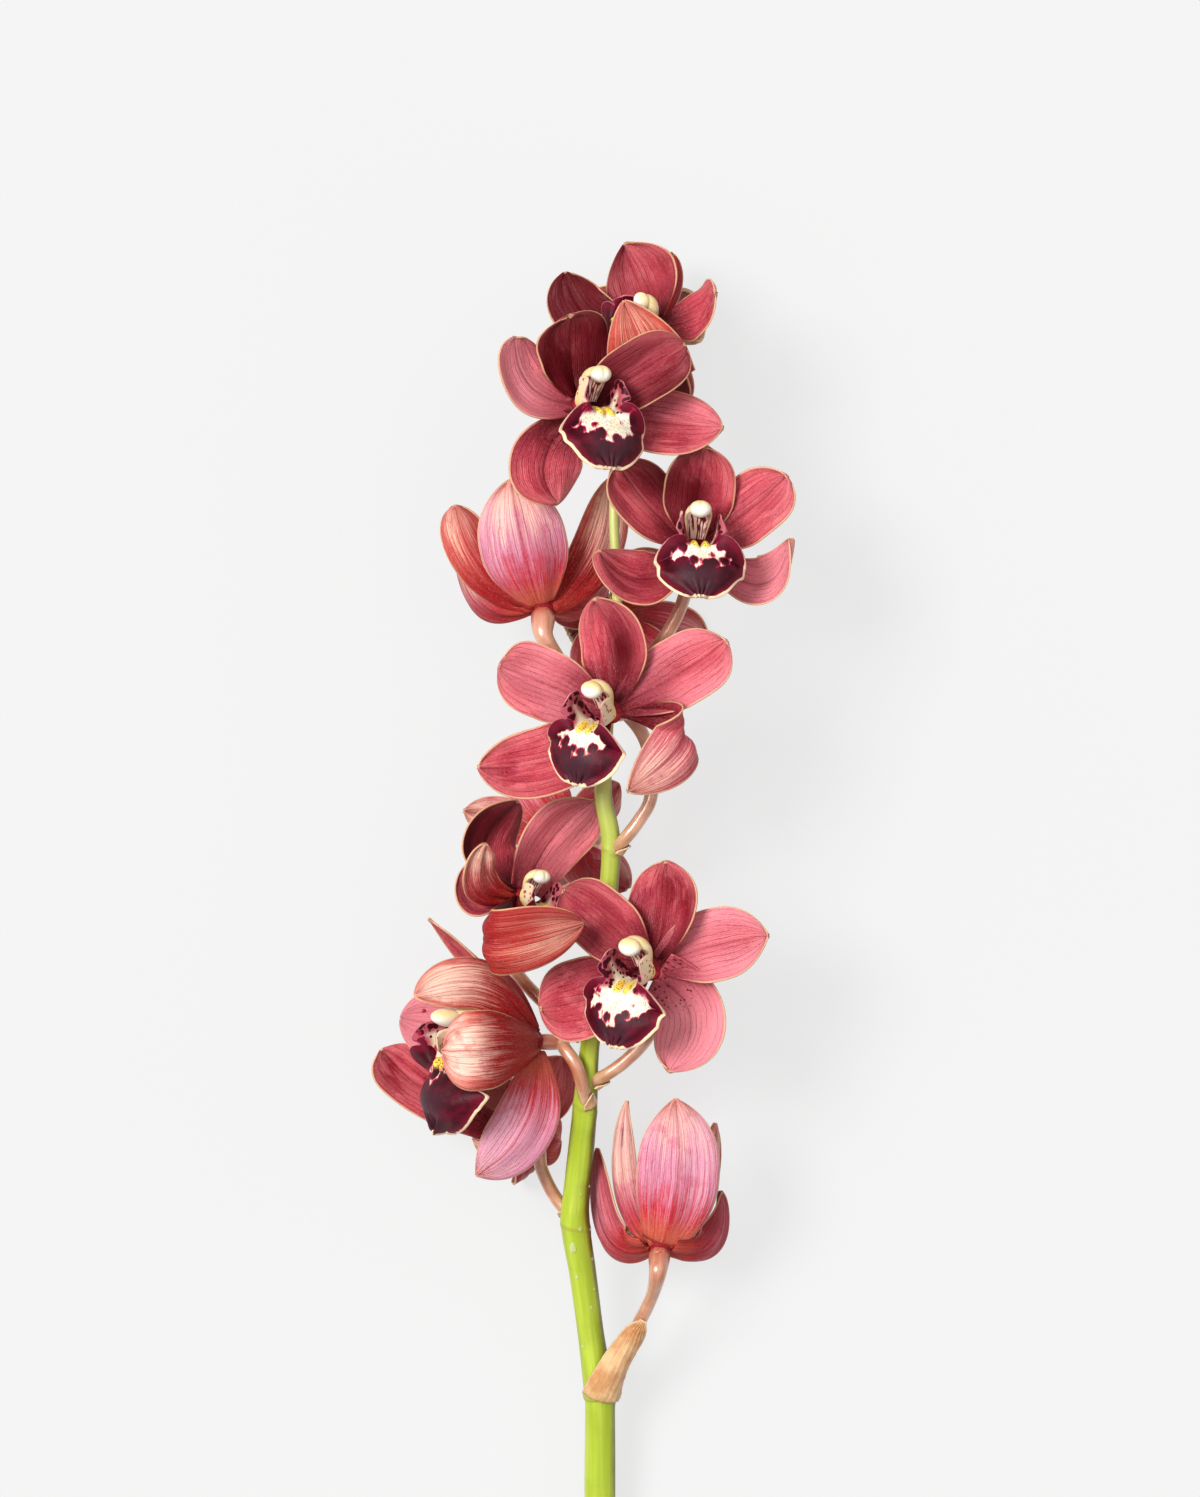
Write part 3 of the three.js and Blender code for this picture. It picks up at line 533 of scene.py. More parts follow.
class Bloom:
    """One bloom's centre and axes: the way it faces, up towards its dorsal sepal, and its side.

    Stretch is how much deeper its column and lip are for their width.
    """

    def __init__(self, number, at, facing, up, scale=1.0, stretch=1.0):
        self.number = number
        self.stretch = stretch
        self.centre = Vector(at)
        self.facing = Vector(facing).normalized()
        up = Vector(up)
        self.up = (up - self.facing * up.dot(self.facing)).normalized()
        self.side = self.up.cross(self.facing).normalized()
        self.scale = scale

    def place(self, sideways, up, forward, scale=None):
        reach = (self.side * sideways + self.up * up) * (scale or self.scale)
        return self.centre + reach + self.facing * forward * self.scale * self.stretch

    def behind(self, distance):
        return self.centre - self.facing * distance


def outline(share, widest, blunt, neck):
    """A sepal's half width as a share of its greatest, from its root to its tip."""
    if share < widest:
        return neck + (1 - neck) * math.sin(math.pi / 2 * share / widest)
    past = min((share - widest) / (1 - widest), 1.0)
    return max(math.cos(math.pi / 2 * past ** (1.4 + blunt)), 0.0) ** (0.75 - 0.3 * blunt)


def petal(bloom, number, tip, wide, bulge=4.0, edge=None, cup=26.0, widest=0.5, blunt=0.2, lean=0.0,
          neck=0.34, tone=0.0, warm=0.4, pale=1.0, freckle=0.0, wave=0.6, roll=0.0, shade=None):
    """A sepal or petal that bows from the bloom's centre to its tip, cupped, with a waved and rolled margin.

    Bulge is how far its middle bows back, or the way that it bows, and edge is the way across it. Cup is how
    far it curls to each side, in degrees. It has its full width at a share of its length, widest, and neck is
    its root's share of that width. A blunt one keeps its width for longer. One that leans has a blunter
    shoulder on one side than the other. Tone and shading goes from -1, dark, over 0, rose, to 1.4, light: it
    is partly the petal's own colour and partly painted light and painted shade that set how lit it looks.
    Warm turns its back from pink to red, pale lightens its back's tip, and freckle spots the root of its
    face. Shade gives the place of a darker patch, across and along, and how dark it is: painted shade in a
    hollow on some petals, their own deeper red on others.
    """
    drift = random.Random(SEED * 1000 + bloom.number * 10 + number)
    phases = [drift.uniform(0, 2 * math.pi) for _ in range(6)]
    end = Vector(tip)
    bow = Vector(bulge) if isinstance(bulge, tuple) else bloom.facing * -bulge
    out = end + bow * 2
    out = (out - bloom.facing * out.dot(bloom.facing)).normalized()
    root = out * HUB_RADIUS * 0.7
    chord = end - root
    width_way = Vector(edge) if edge else chord.cross(bloom.facing)

    def shape(a, row):
        v = 2 * a - 1
        t = 1 - (1 - row) ** 1.35
        along = (chord + bow * 4 * (1 - 2 * t)).normalized()
        side = (width_way - along * width_way.dot(along)).normalized()
        up = side.cross(along).normalized()
        shoulder = min(max(blunt + lean * (1 if v > 0 else -1), -0.3), 1.3)
        half = max(wide / 2 * outline(t, widest, shoulder, neck), PETAL_HALF_LEAST)
        angle = math.radians(max(cup * math.sin(math.pi * (0.25 + t * 0.75)), 1.2))
        radius = half / angle
        turn = v * angle
        ripple = math.sin(5.0 * t + phases[0])
        ripple += 0.6 * math.sin(11.0 * t + phases[1] + (2.0 if v > 0 else 0.0))
        lift = wave * ripple * abs(v) ** 3 * smoothstep(t, 0.15, 0.4)
        lift -= roll * abs(v) ** 4 * smoothstep(t, 0.2, 0.7)
        lift -= 0.4 * math.exp(-(v / 0.08) ** 2) * smoothstep(t, 1.0, 0.7)
        lift += 0.5 * math.sin(2.4 * math.pi * v + phases[2]) * math.sin(4.0 * t + phases[3])
        point = bloom.centre + root + chord * t + bow * 4 * t * (1 - t)
        point = point + side * radius * math.sin(turn) + up * (radius * (1 - math.cos(turn)) + lift)
        point.z = max(point.z, LOWEST)
        # The given value holds painted light and shade as well as the petal's own colour, and drifts at
        # random across it.
        local = tone + 0.55 * noise.noise(Vector((v * 0.9 + phases[4], t * 1.5, phases[5])))
        # A darker patch: painted shade in a hollow on some petals, the petal's own deeper red on others.
        if shade:
            local -= shade[2] * math.exp(-((v - shade[0]) / 0.5) ** 2 - ((t - shade[1]) / 0.28) ** 2)
        return point, {"tone": local, "warm": warm, "pale": pale, "freckle": freckle}

    return sheet("petal", PETAL_COLUMNS, PETAL_ROWS, shape, *PETAL_THICKNESS)


def hub(bloom):
    """The small boss that a bloom's sepals and petals grow from."""
    def shape(co):
        reach = (bloom.side * co.x + bloom.up * co.y) * HUB_RADIUS * 0.85
        return (bloom.centre + reach + bloom.facing * co.z * HUB_HALF_DEPTH) * MM

    piece = mapped_ball(24, 12, shape)
    for key, value in HUB_LOOK.items():
        mark(piece, key, [value] * len(piece.data.vertices))
    return piece


# ---------------------------------------------------------------- lip and column

LIP_COLUMNS = 60
LIP_ROWS = 72
LIP_MIDLINE = [(-2.6, 3.4), (-5, 8), (-6.4, 12.2), (-9.5, 15.6), (-16.5, 17), (-24, 14)]  # up, forward
LIP_RIBS = [  # half width along the sheet, and where its rib leaves and ends on the midline
    (2.8, 0.0, 0.02),
    (9.6, 0.1, 0.1),
    (13.8, 0.22, 0.33),
    (12.4, 0.33, 0.48),
    (8.9, 0.47, 0.49),
]
LOBE_START = 0.46  # the share of its rows before the mid lobe
LOBE_REACH = 14.2
LOBE_WIDEST = 0.2
LOBE_ENDS = 0.97  # it ends a little short of its point
LIP_TUBE = 5.4  # the radius of its trough
LIP_STAND = math.radians(84)  # how steeply its side lobes stand
LIP_ROLL = 0.028  # how fast the mid lobe falls away to its sides
LIP_THICKNESS = (0.85, 0.4)  # along its middle and at its margin
RIDGE_AWAY = 1.7  # the callus's two ridges, to each side of the midline
RIDGE_WIDTH = 0.95
RIDGE_HEIGHT = 1.9


def lip_rib(row):
    """A rib of the lip: its half width, and where it leaves and ends on the midline."""
    if row < LOBE_START:
        return through(LIP_RIBS, row / LOBE_START)
    s = (row - LOBE_START) / (1 - LOBE_START)
    if s < LOBE_WIDEST:
        share = 0.62 + 0.38 * math.sin(math.pi / 2 * s / LOBE_WIDEST)
    else:
        share = (1 - (LOBE_ENDS * (s - LOBE_WIDEST) / (1 - LOBE_WIDEST)) ** 3) ** 0.5
    start = 0.47 + 0.53 * s
    return Vector((LOBE_REACH * share, start, start + 0.02 * (1 - s)))


def lip(bloom, scale=None, deep=0.0):
    """A trough with side lobes that stand up by the column, a two-ridged callus and a frilled mid lobe.

    Scale is its own, where it isn't its bloom's. Deep is how much further up it the mid lobe's dark reaches.
    """
    drift = random.Random(SEED * 2000 + bloom.number)
    phases = [drift.uniform(0, 2 * math.pi) for _ in range(6)]

    def shape(a, r):
        v = 2 * a - 1
        reach, start, end = lip_rib(r)
        lobe = smoothstep(r, 0.46, 0.6)
        turn = math.atan2(v, 1.12 - r)
        scallop = 0.035 * math.sin(13 * turn + phases[3]) + 0.02 * math.sin(27 * turn + phases[4])
        away = abs(v) * reach * (1 + scallop * lobe * v * v)
        t = start + (end - start) * v * v
        mid = through(LIP_MIDLINE, t)
        slope = heading(LIP_MIDLINE, t, 0.01).normalized()
        trough = 1 - smoothstep(t, 0.42, 0.62)
        most = LIP_STAND * trough
        bend = min(away / LIP_TUBE, most)
        straight = away - bend * LIP_TUBE
        x = LIP_TUBE * math.sin(bend) + straight * math.cos(most)
        rise = LIP_TUBE * (1 - math.cos(bend)) + straight * math.sin(most)
        rise -= (1 - trough) * LIP_ROLL * away * away
        frill = 0.9 * math.sin(9 * turn + phases[0]) + 0.5 * math.sin(19 * turn + phases[1])
        edge = max(abs(v), smoothstep(r, 0.72, 1.0)) ** 4
        rise += frill * edge * lobe
        rise += 0.6 * math.sin(16 * r + phases[2] + (1.5 if v > 0 else 0)) * abs(v) ** 3 * (1 - lobe)
        ridge = math.exp(-((away - RIDGE_AWAY) / RIDGE_WIDTH) ** 2) * smoothstep(r, 0.14, 0.24)
        ridge *= 1 - smoothstep(r, 0.5, 0.57)
        rise += RIDGE_HEIGHT * ridge
        sideways = math.copysign(x, v) if v else 0.0
        point = bloom.place(sideways, mid.x + slope.y * rise, mid.y - slope.x * rise, scale)
        point.z = max(point.z, LOWEST)
        callus = smoothstep(ridge, 0.25, 0.55) * smoothstep(r, 0.3, 0.42)
        return point, {"side": v, "down": r, "callus": callus, "deep": deep}

    return sheet("lip", LIP_COLUMNS, LIP_ROWS, shape, *LIP_THICKNESS, inside=-1)


COLUMN_PATH = [(0.6, 4.5), (3.4, 6.8), (6, 9.6), (6.8, 12.6), (5.4, 15.4)]  # up, forward
COLUMN_ROWS = [  # half width, half depth, evenly along it
    (2.9, 2.0), (3.4, 2.3), (4.0, 2.6), (4.4, 2.8), (4.2, 3.0), (3.2, 2.4), (1.0, 0.9),
]
COLUMN_COLUMNS = 32
COLUMN_RINGS = 36
COLUMN_ENDS = 0.97  # it ends a little short of its path, in its cap
CAP_PLACE = 0.93
CAP_HALVES = (3.6, 2.8, 2.9)  # half its width, height and depth
CAP_GROOVE = 0.16


def column(bloom):
    """The arched column, hollowed underneath, with the anther cap at its end."""
    def shape(a, t):
        mid = through(COLUMN_PATH, t * COLUMN_ENDS)
        slope = heading(COLUMN_PATH, t * COLUMN_ENDS, 0.02).normalized()
        half_width, half_depth = through(COLUMN_ROWS, t)
        turn = 2 * math.pi * a
        deep = half_depth * math.sin(turn)
        hollow = max(-math.sin(turn), 0.0) ** 2
        deep += hollow * half_depth * 0.75
        x = half_width * math.cos(turn)
        point = bloom.place(x, mid.x + slope.y * deep, mid.y - slope.x * deep)
        return point, {"under": hollow, "cap": 0.0}

    end = through(COLUMN_PATH, CAP_PLACE)

    def cap_shape(co):
        wide, high, deep = CAP_HALVES
        groove = 1 - CAP_GROOVE * math.exp(-(co.x / 0.18) ** 2) * max(co.z, 0)
        up = end.x + co.y * high + 0.3
        forward = end.y + co.z * deep * groove + 0.2
        return bloom.place(co.x * wide * groove, up, forward) * MM

    body = close_tube(mapped_grid("column", COLUMN_COLUMNS, COLUMN_RINGS, shape))
    cap = mapped_ball(24, 16, cap_shape)
    whiteness = []
    for vertex in cap.data.vertices:
        height = (vertex.co / MM - bloom.centre).dot(bloom.up) / bloom.scale
        whiteness.append(smoothstep(end.x - height, -1.6, 0.8))
    mark(cap, "cap", whiteness)
    mark(cap, "under", [0.0] * len(whiteness))
    return join([body, cap], "column")


# ---------------------------------------------------------------- stalks

STALK = [  # a place on its middle line, and its radius there
    (4.8, -225, 4.7, 4.7), (4.8, -190, 7.7, 4.8), (4.8, -155, 11.2, 4.7), (4.8, -126, 15.2, 4.6),
    (4.8, -122.5, 15.8, 5.1), (4.2, -119, 16.4, 4.6), (2.1, -104.7, 19.5, 4.0), (-0.4, -86, 23.5, 4.1),
    (-2.7, -70, 27.5, 4.4), (-2.1, -60, 30, 4.0), (0, -38.7, 36, 3.8), (1.8, -16.2, 41, 2.9),
    (5.1, 9.3, 45, 2.8), (8.1, 42.3, 48, 2.9), (5.7, 60.3, 49, 2.6), (7.2, 87.3, 49, 2.1),
    (9.9, 117.3, 50, 1.6), (9, 142.8, 50, 1.5), (10.8, 156.3, 49, 1.6), (16.8, 177.3, 46, 1.5),
]
STALK_SIDES = 36
STALK_RINGS = 380
NODE_SCARS = (-123.5, -71.5, -35.5, -13.0, 41.5, 86.0, 110.0, 156.0)  # how far along +Y the stalk has a node
PEDICEL_RADIUS = 2.0
PEDICEL_SIDES = 24
PEDICEL_RINGS = 12  # to each part of its path
OVARY_RADIUS = 2.9
OVARY_LENGTH = 9


def round_stalk(name, path, sides, rings, tell):
    """A smooth stalk along a path of (x, y, z, radius), closed at both ends."""
    frames = []
    across = Vector((1, 0.1, 0))
    for ring in range(rings + 1):
        t = ring / rings
        here = through(path, t)
        ahead = heading(path, t, 0.002).xyz.normalized()
        across = (across - ahead * across.dot(ahead)).normalized()
        frames.append((here.xyz, here.w, across.copy(), ahead.cross(across)))

    def shape(a, t):
        middle, radius, across, third = frames[round(t * rings)]
        turn = 2 * math.pi * a
        way = across * math.cos(turn) + third * math.sin(turn)
        swell, facts = tell(middle, way, t)
        return middle + way * radius * swell, facts

    return close_tube(mapped_grid(name, sides, rings, shape))


def stalk():
    """The main stalk, a little swollen and scarred at its nodes."""
    def tell(middle, way, t):
        near = min(abs(middle.y - scar + way.x * 1.2) for scar in NODE_SCARS)
        rough = noise.noise(Vector((middle.x + way.x * 3, middle.y * 0.08, middle.z + way.z * 3)) * 0.35)
        swell = 1 + 0.025 * rough + 0.05 * math.exp(-(near / 1.3) ** 2)
        cut = 1.0 if t < 0.001 else 0.0
        # how far a point faces away from the key light, for the stalk's painted shade
        return swell, {"scar": math.exp(-(near / 0.9) ** 2), "cut": cut, "flank": way.x * 0.8 - way.z * 0.3}

    return round_stalk("stalk_skin", STALK, STALK_SIDES, STALK_RINGS, tell)


def pedicel(bloom, route, ovary):
    """A bloom's own stalk, which swells into its ribbed ovary, of the given radius."""
    path = [(*point, PEDICEL_RADIUS) for point in route]
    path.append((*bloom.behind(OVARY_LENGTH), (PEDICEL_RADIUS + ovary) / 2))
    path.append((*bloom.behind(HUB_HALF_DEPTH + 1.0), ovary))
    path.append((*bloom.behind(0.5), ovary * 0.8))

    def tell(middle, way, t):
        ribs = 0.035 * math.cos(6 * math.atan2(way.z, way.x)) * smoothstep(t, 0.6, 0.95)
        rough = noise.noise((middle + way * 2) * 0.3)
        return 1 + ribs + 0.03 * rough, {}

    return round_stalk("pedicel", path, PEDICEL_SIDES, PEDICEL_RINGS * (len(path) - 1), tell)


PAPERY_THICKNESS = 0.5
BRACT_ROWS = [  # the middle of each row of the wrap, its radius, and how far it reaches round to each side
    (5.0, -122.6, 15.9, 5.6, -72, 92),
    (6.6, -117.5, 18.2, 5.2, -62, 105),
    (9.6, -112, 21.2, 4.2, -70, 110),
    (13.2, -106.5, 23.8, 3.5, -75, 95),
    (16, -101.8, 25.7, 3.0, -60, 60),
    (17.8, -98.6, 27, 2.7, -16, 20),
]


def papery(name, rows, columns, fine_rows, ribs):
    """A papery bract that wraps a stalk, from rows of middle, radius and reach round to each side."""
    centres = [row[:3] for row in rows]
    wraps = [row[3:] for row in rows]

    def shape(a, t):
        middle = through(centres, t)
        ahead = heading(centres, t, 0.02).normalized()
        side = (Vector((1, 0, 0)) - ahead * ahead.x).normalized()
        up = side.cross(ahead)
        radius, left, right = through(wraps, t)
        turn = math.radians(left + (right - left) * a)
        radius += ribs * (0.1 * math.sin(46 * a) + 0.18 * noise.noise(Vector((a * 5, t * 4, middle.y))))
        radius += ribs * 0.35 * abs(2 * a - 1) ** 4
        return middle + up * radius * math.cos(turn) + side * radius * math.sin(turn), {}

    return sheet(name, columns, fine_rows, shape, PAPERY_THICKNESS, PAPERY_THICKNESS)


SCALE_ROWS = (  # how far along it, its radius there and how far round it reaches to each side
    (0.0, 3.0, 75), (0.35, 2.75, 70), (0.7, 2.6, 42), (1.0, 2.7, 6),
)
SCALE_TILTS = {3: -80, 4: 80, 6: 70, 8: -70, 9: 75, 10: 60, 11: -75}  # which side of each bloom's stalk it is


def scale_leaf(route, tilt):
    """The short pointed scale at the foot of a bloom's stalk."""
    rows = []
    for t, radius, half in SCALE_ROWS:
        middle = Vector(route[0]).lerp(Vector(route[1]), 0.3 + 0.55 * t)
        rows.append((*middle, radius, tilt - half, tilt + half))
    return papery("scale_leaf", rows, 16, 12, 0.5)


STALK_DROPS = [  # its place along X and Y, and half its width and length
    (-3.3, -77.7, 1.0, 1.7), (-2.1, -86.7, 0.5, 0.6), (-1.2, -72, 0.5, 0.6), (1.8, -72.3, 0.45, 0.5),
    (1.5, -59.1, 0.4, 0.5), (-0.9, -61.5, 0.35, 0.4), (2.4, -81.3, 0.4, 0.45), (2.2, -96, 0.4, 0.5),
    (-0.5, -108, 0.35, 0.4), (-2.6, -66.5, 0.3, 0.3), (3.0, -90.5, 0.3, 0.35),
]
PETAL_DROPS = [
    (-46.2, -11.1, 0.95, 1.0), (-48.3, -6.3, 0.7, 0.6), (-45.0, -17.5, 0.35, 0.35), (-43.2, -8.4, 0.3, 0.3),
]


def dew(carrier, spots, refracted_red):
    """Flat beads of water on a piece's face, with the red of what they stand on painted in as its refraction,
    by the given share.
    """
    beads = []
    for x, y, wide, long in spots:
        hit, place, normal, _ = carrier.ray_cast(Vector((x, y, 200)) * MM, Vector((0, 0, -1)))
        if not hit:
            continue
        turn = Vector((0, 0, 1)).rotation_difference(normal)

        def shape(co):
            sag = 1 + 0.25 * co.y * (long > wide)
            return place + turn @ Vector((co.x * wide / sag, co.y * long, co.z * wide * 0.6 + 0.05)) * MM

        bead = mapped_ball(20, 12, shape)
        mark(bead, "refracted_red", [refracted_red] * len(bead.data.vertices))
        beads.append(bead)
    return beads


# ---------------------------------------------------------------- the blooms

def sepal(tip, wide, bulge=4.0, **look):
    """The measures of one sepal or petal, as petal() takes them."""
    return {"tip": tip, "wide": wide, "bulge": bulge, **look}


# Each bloom's axes, as Bloom takes them, its lip's own scale and how deep its lip is, its stalk's path up to
# its ovary, the ovary's radius, and its three sepals and two petals. What isn't given has its usual value.
BLOOMS = [
    {
        "axes": ((21, 198, 50), (-0.6, 0.4, 0.69), (0.75, 0.6, 0.25), 0.85),
        "lip": 0.75,
        "deep": 0.5,
        "pedicel": [(15.8, 174, 46), (20.5, 180, 43.5), (25, 186.5, 42)],
        "petals": [
            sepal((18.3, 10.5, 16), 18, 5.0, blunt=0.7, lean=-0.3, tone=0.0),
            sepal((-8.5, 26.7, -12), 26, 4.0, blunt=0.1, tone=-0.58),
            sepal((-26.5, 18, -14), 18, (-5, -5, -2), tone=-1.2, blunt=0.5),
            sepal((-9, 8.1, 18.5), 25, (4, -15.3, 3.5), edge=(-0.95, 0.2, 0), warm=0.9, pale=0.4, tone=-0.1),
            sepal((5, -26, 3), 18, 2.0, tone=-0.7),
        ],
    },
    {
        "axes": ((-0.6, 174.3, 68), (0.45, 0.3, 0.84), (-0.06, 1, -0.2), 0.93),
        "lip": 1.0,
        "deep": -0.03,
        "pedicel": [(10.9, 157, 49), (7, 160, 53), (1, 165.5, 57)],
        "petals": [
            sepal((-3.6, 27, 5), 26, (-1, 0, -4), tone=-0.95, blunt=1.1),
            sepal((-20, 20.5, 10), 20, (-4.5, -4.5, 1), cup=30, blunt=1.1, lean=0.2, tone=0.85),
            sepal((30.6, 18.5, 4), 20, (-1.5, -1, 1), blunt=1.0, lean=0.2, tone=-0.6),
            sepal((42, -6, -2), 22, 3.0, blunt=0.3, tone=0.35),
            sepal((-7.5, -28.5, 0), 24, (-6.5, 0, -3), cup=12, blunt=0.5, tone=0.3, roll=0.8, wave=0.3,
                  freckle=1.0),
        ],
    },
    {
        "axes": ((-12.5, 114.5, 46), (-0.05, 0.85, -0.5), (0, 0.5, 0.85), 1.0),
        "pedicel": [(7.3, 87, 49), (1, 91, 49), (-5, 96, 50), (-9, 102, 50)],
        "ovary": 3.6,
        "petals": [
            sepal((-9.5, 38.5, 11), 27, (0, -3, 6), edge=(-1, -0.2, 0), warm=0.0, wave=0.3),
            sepal((-26, 31, 2), 16, (-4, -3, 2), edge=(-0.8, -0.5, -0.3), warm=0.8, pale=0.7, blunt=0.9,
                  lean=0.3, tone=-0.3),
            sepal((-24.5, 20.5, -6), 14, (-5, -9, -2), edge=(-0.4, -0.4, -0.8), tone=-0.4),
            sepal((19.6, 39, -7), 16, (5, -3, 1), edge=(-0.9, 0.4, 0.2), warm=0.8, pale=1.2, tone=0.9),
            sepal((19, 20, -14), 14, (4, -6, -2), edge=(-0.4, 0.4, 0.8), tone=-0.1),
        ],
    },
    {
        "axes": ((33, 133, 60), (0.12, 0.42, 0.89), (0, 0.89, -0.45), 0.93),
        "lip": 0.97,
        "pedicel": [(7.4, 88, 49), (13, 93, 48), (19, 99.5, 48), (25.4, 108, 48.5), (30, 118, 50)],
        "petals": [
            sepal((3, 30, 4), 22, 4.0, blunt=0.6, tone=-0.35, shade=(0, 0.55, 0.6)),
            sepal((-23.5, 24.5, 2), 21, 3.0, blunt=0.8, lean=-0.3, tone=-0.4),
            sepal((27.5, 21, 4), 21, 4.0, blunt=0.8, lean=0.35, tone=0.28),
            sepal((29, 2, 6), 17, (4, -11.5, -3), blunt=0.5, roll=-1.5, tone=1.4),
            sepal((-28.6, -1.5, 4), 19, (1, -8.5, -3), blunt=0.5, tone=-0.3, roll=1.5),
        ],
    },
    {
        "axes": ((9.3, 114.3, 17.5), (0.25, 0.1, -0.96), (0.88, 0.47, 0), 0.82),
        "pedicel": [(9.6, 111, 50), (11, 111, 43), (9, 113, 35)],
        "petals": [
            sepal((14, 18, -12), 18, 3.0, tone=-0.6),
            sepal((-20, 6, -10), 18, 3.0, tone=-0.6),
            sepal((28.5, -8, -17.2), 16, (0, 0, -4.2), cup=5, tone=-0.5),
            sepal((-8, -24, -17.8), 18, 3.0, tone=-0.6),
            sepal((16, -22, -14), 18, 3.0, tone=-0.6),
        ],
    },
    {
        "axes": ((8.4, 83.7, 68), (-0.5, 0.05, 0.86), (0.2, 1, 0), 0.95),
        "pedicel": [
            (8.2, 41.7, 48), (12.5, 46, 51), (16.3, 51, 52), (19.8, 57.3, 53), (20.3, 66, 53), (18, 76, 55),
        ],
        "petals": [
            sepal((-5, 33.6, 2), 23, (4, 0, -4), blunt=0.4, tone=-0.2, shade=(0.1, 0.5, 0.6)),
            sepal((-33.6, 14, -6), 22, (0, 0, -3), blunt=0.9, lean=0.3, tone=0.6),
            sepal((34, 21, 8), 23, 3.0, blunt=0.5, lean=0.4, tone=0.6),
            sepal((4.5, -23.7, 15), 18, (17.5, 6, -1), edge=(0.3, -0.95, 0), warm=0.5, pale=0.75, neck=0.1,
                  widest=0.62, tone=-0.15),
            sepal((-40, -16.5, -6), 22, (4, -5, -3), blunt=0.4),
        ],
    },
    {
        "axes": ((-5.7, 46.8, 17.5), (-0.2, 0, -0.98), (0.3, 0.95, 0), 0.72),
        "pedicel": [(8, 42.5, 48), (8.5, 42.5, 40), (3.5, 45, 33)],
        "petals": [
            sepal((-14, 20, -12), 18, 3.0, tone=-0.2),
            sepal((-31, 7, -17.2), 14, (0, 0, -4.2), cup=5, tone=-0.35),
            sepal((16, 15, -12), 14, 3.0, tone=-0.6),
            sepal((8, -14, -8), 15, 2.0, tone=-0.6),
            sepal((19, -16.5, -17.8), 13, 3.0, tone=-0.6),
        ],
    },
    {
        "axes": ((-18.6, 27.3, 42), (0.55, 0.2, 0.8), (-0.1, 0.97, -0.17), 0.78),
        "lip": 0.8,
        "pedicel": [
            (1.8, -14.7, 41), (-5, -9.5, 38), (-13.2, -2.7, 36), (-20.5, 5.5, 34.5), (-26, 15, 33),
            (-26, 22, 33),
        ],
        "petals": [
            sepal((-1.5, 29.5, -2), 21, (-10, -1, -4), blunt=0.6, lean=0.3, tone=-0.75),
            sepal((21.5, 29.7, 2.5), 21, (-2, 2, -3), blunt=0.5, lean=0.3, tone=0.75, neck=0.55),
            sepal((-11, 17, 16), 12, (-5, -4, 2), edge=(-0.8, -0.5, 0.3), warm=0.7, blunt=0.7),
            sepal((-16, 10.5, -3), 14, (-4, -6, 0), tone=-0.2),
            sepal((18.3, -6.5, 25), 21, (-18, -8.5, 12), edge=(0, 1, 0.3), warm=0.9, pale=0.5, widest=0.6,
                  blunt=0.6, tone=-0.45, shade=(0.1, 0.25, 1.0)),
        ],
    },
    {
        "axes": ((20, 7, 62), (-0.5, 0.05, 0.86), (0.2, 1, 0), 1.0),
        "deep": -0.08,
        "pedicel": [(1.3, -28, 39), (7, -25, 42), (13, -20.5, 44), (19, -14, 46), (24.5, -4, 48.5)],
        "petals": [
            sepal((4.5, 32, 2), 24, 4.0, blunt=0.4, lean=0.2, tone=-0.3, shade=(0, 0.8, 0.4)),
            sepal((-26, 23.5, -3), 21, 4.0, blunt=1.0, tone=-0.3),
            sepal((35, 10, 6), 23, (-1, 1, -3), blunt=0.1, tone=0.9),
            sepal((5.3, -30.6, 2), 21.5, (8.5, 2, -3), edge=(-0.9, -0.35, 0), blunt=0.5, lean=0.3, wave=1.0,
                  tone=1.3, neck=0.85, freckle=1.0),
            sepal((-33, -12, -6), 25, (0, -2, -4), blunt=0.9, tone=-0.2),
        ],
    },
    {
        "axes": ((-14.8, -15.2, 43), (-0.88, 0.05, 0.45), (0.11, 1, 0.12), 1.0, 2.0),
        "lip": 1.2,
        "deep": 0.14,
        "pedicel": [(1.2, -35.7, 37), (-0.2, -29.5, 43), (-2.5, -22, 45.5), (-6, -17, 43.5)],
        "ovary": 2.4,
        "petals": [
            sepal((-31.9, 36.9, 3), 10, (4, -2, 0), warm=0.7, blunt=-0.3),
            sepal((-35.6, 14, 17), 16, (3, 9, 5), edge=(0, -1, 0.2), warm=0.9, pale=1.4, blunt=0.5, tone=1.0,
                  shade=(0.6, -0.05, 1.1)),
            sepal((-40.5, 6.5, -12), 23, (0, 0, -5), blunt=0.6, tone=1.6),
            sepal((-27, -2, 25), 24.5, (0, -0.5, 13.5), edge=(0, -1, 0), warm=0.9, pale=1.7, blunt=1.0,
                  tone=1.4, shade=(-0.7, -0.05, 1.5)),
            sepal((-17.5, -40, 3), 20, (6, -3, 3), edge=(1, -0.3, -0.2), warm=0.0, tone=0.55, pale=0.4),
        ],
    },
    {
        "axes": ((-18.6, -46.2, 18), (-0.5, 0.1, -0.86), (0.39, -0.92, 0), 0.8),
        "pedicel": [(-2.7, -69.3, 27.5), (-6.5, -65.5, 26), (-10, -60.5, 26), (-13, -53.5, 27)],
        "petals": [
            sepal((11.4, 25.5, -2), 20, 3.0, warm=0.6, pale=0.0, tone=-0.2, wave=1.0),
            sepal((11, 0, -12), 16, (2, 0, 1), warm=0.8, pale=0.0),
            sepal((0, -9, -18.6), 14, (2, -3, 2), tone=-0.6),
            sepal((-15, 1, 0), 14, 2.0, tone=-0.3),
            sepal((-42.5, 28, 8), 17, (-5, 0, 3), edge=(0.6, 0.8, 0), widest=0.65, blunt=0.6, tone=-0.3),
        ],
    },
    {
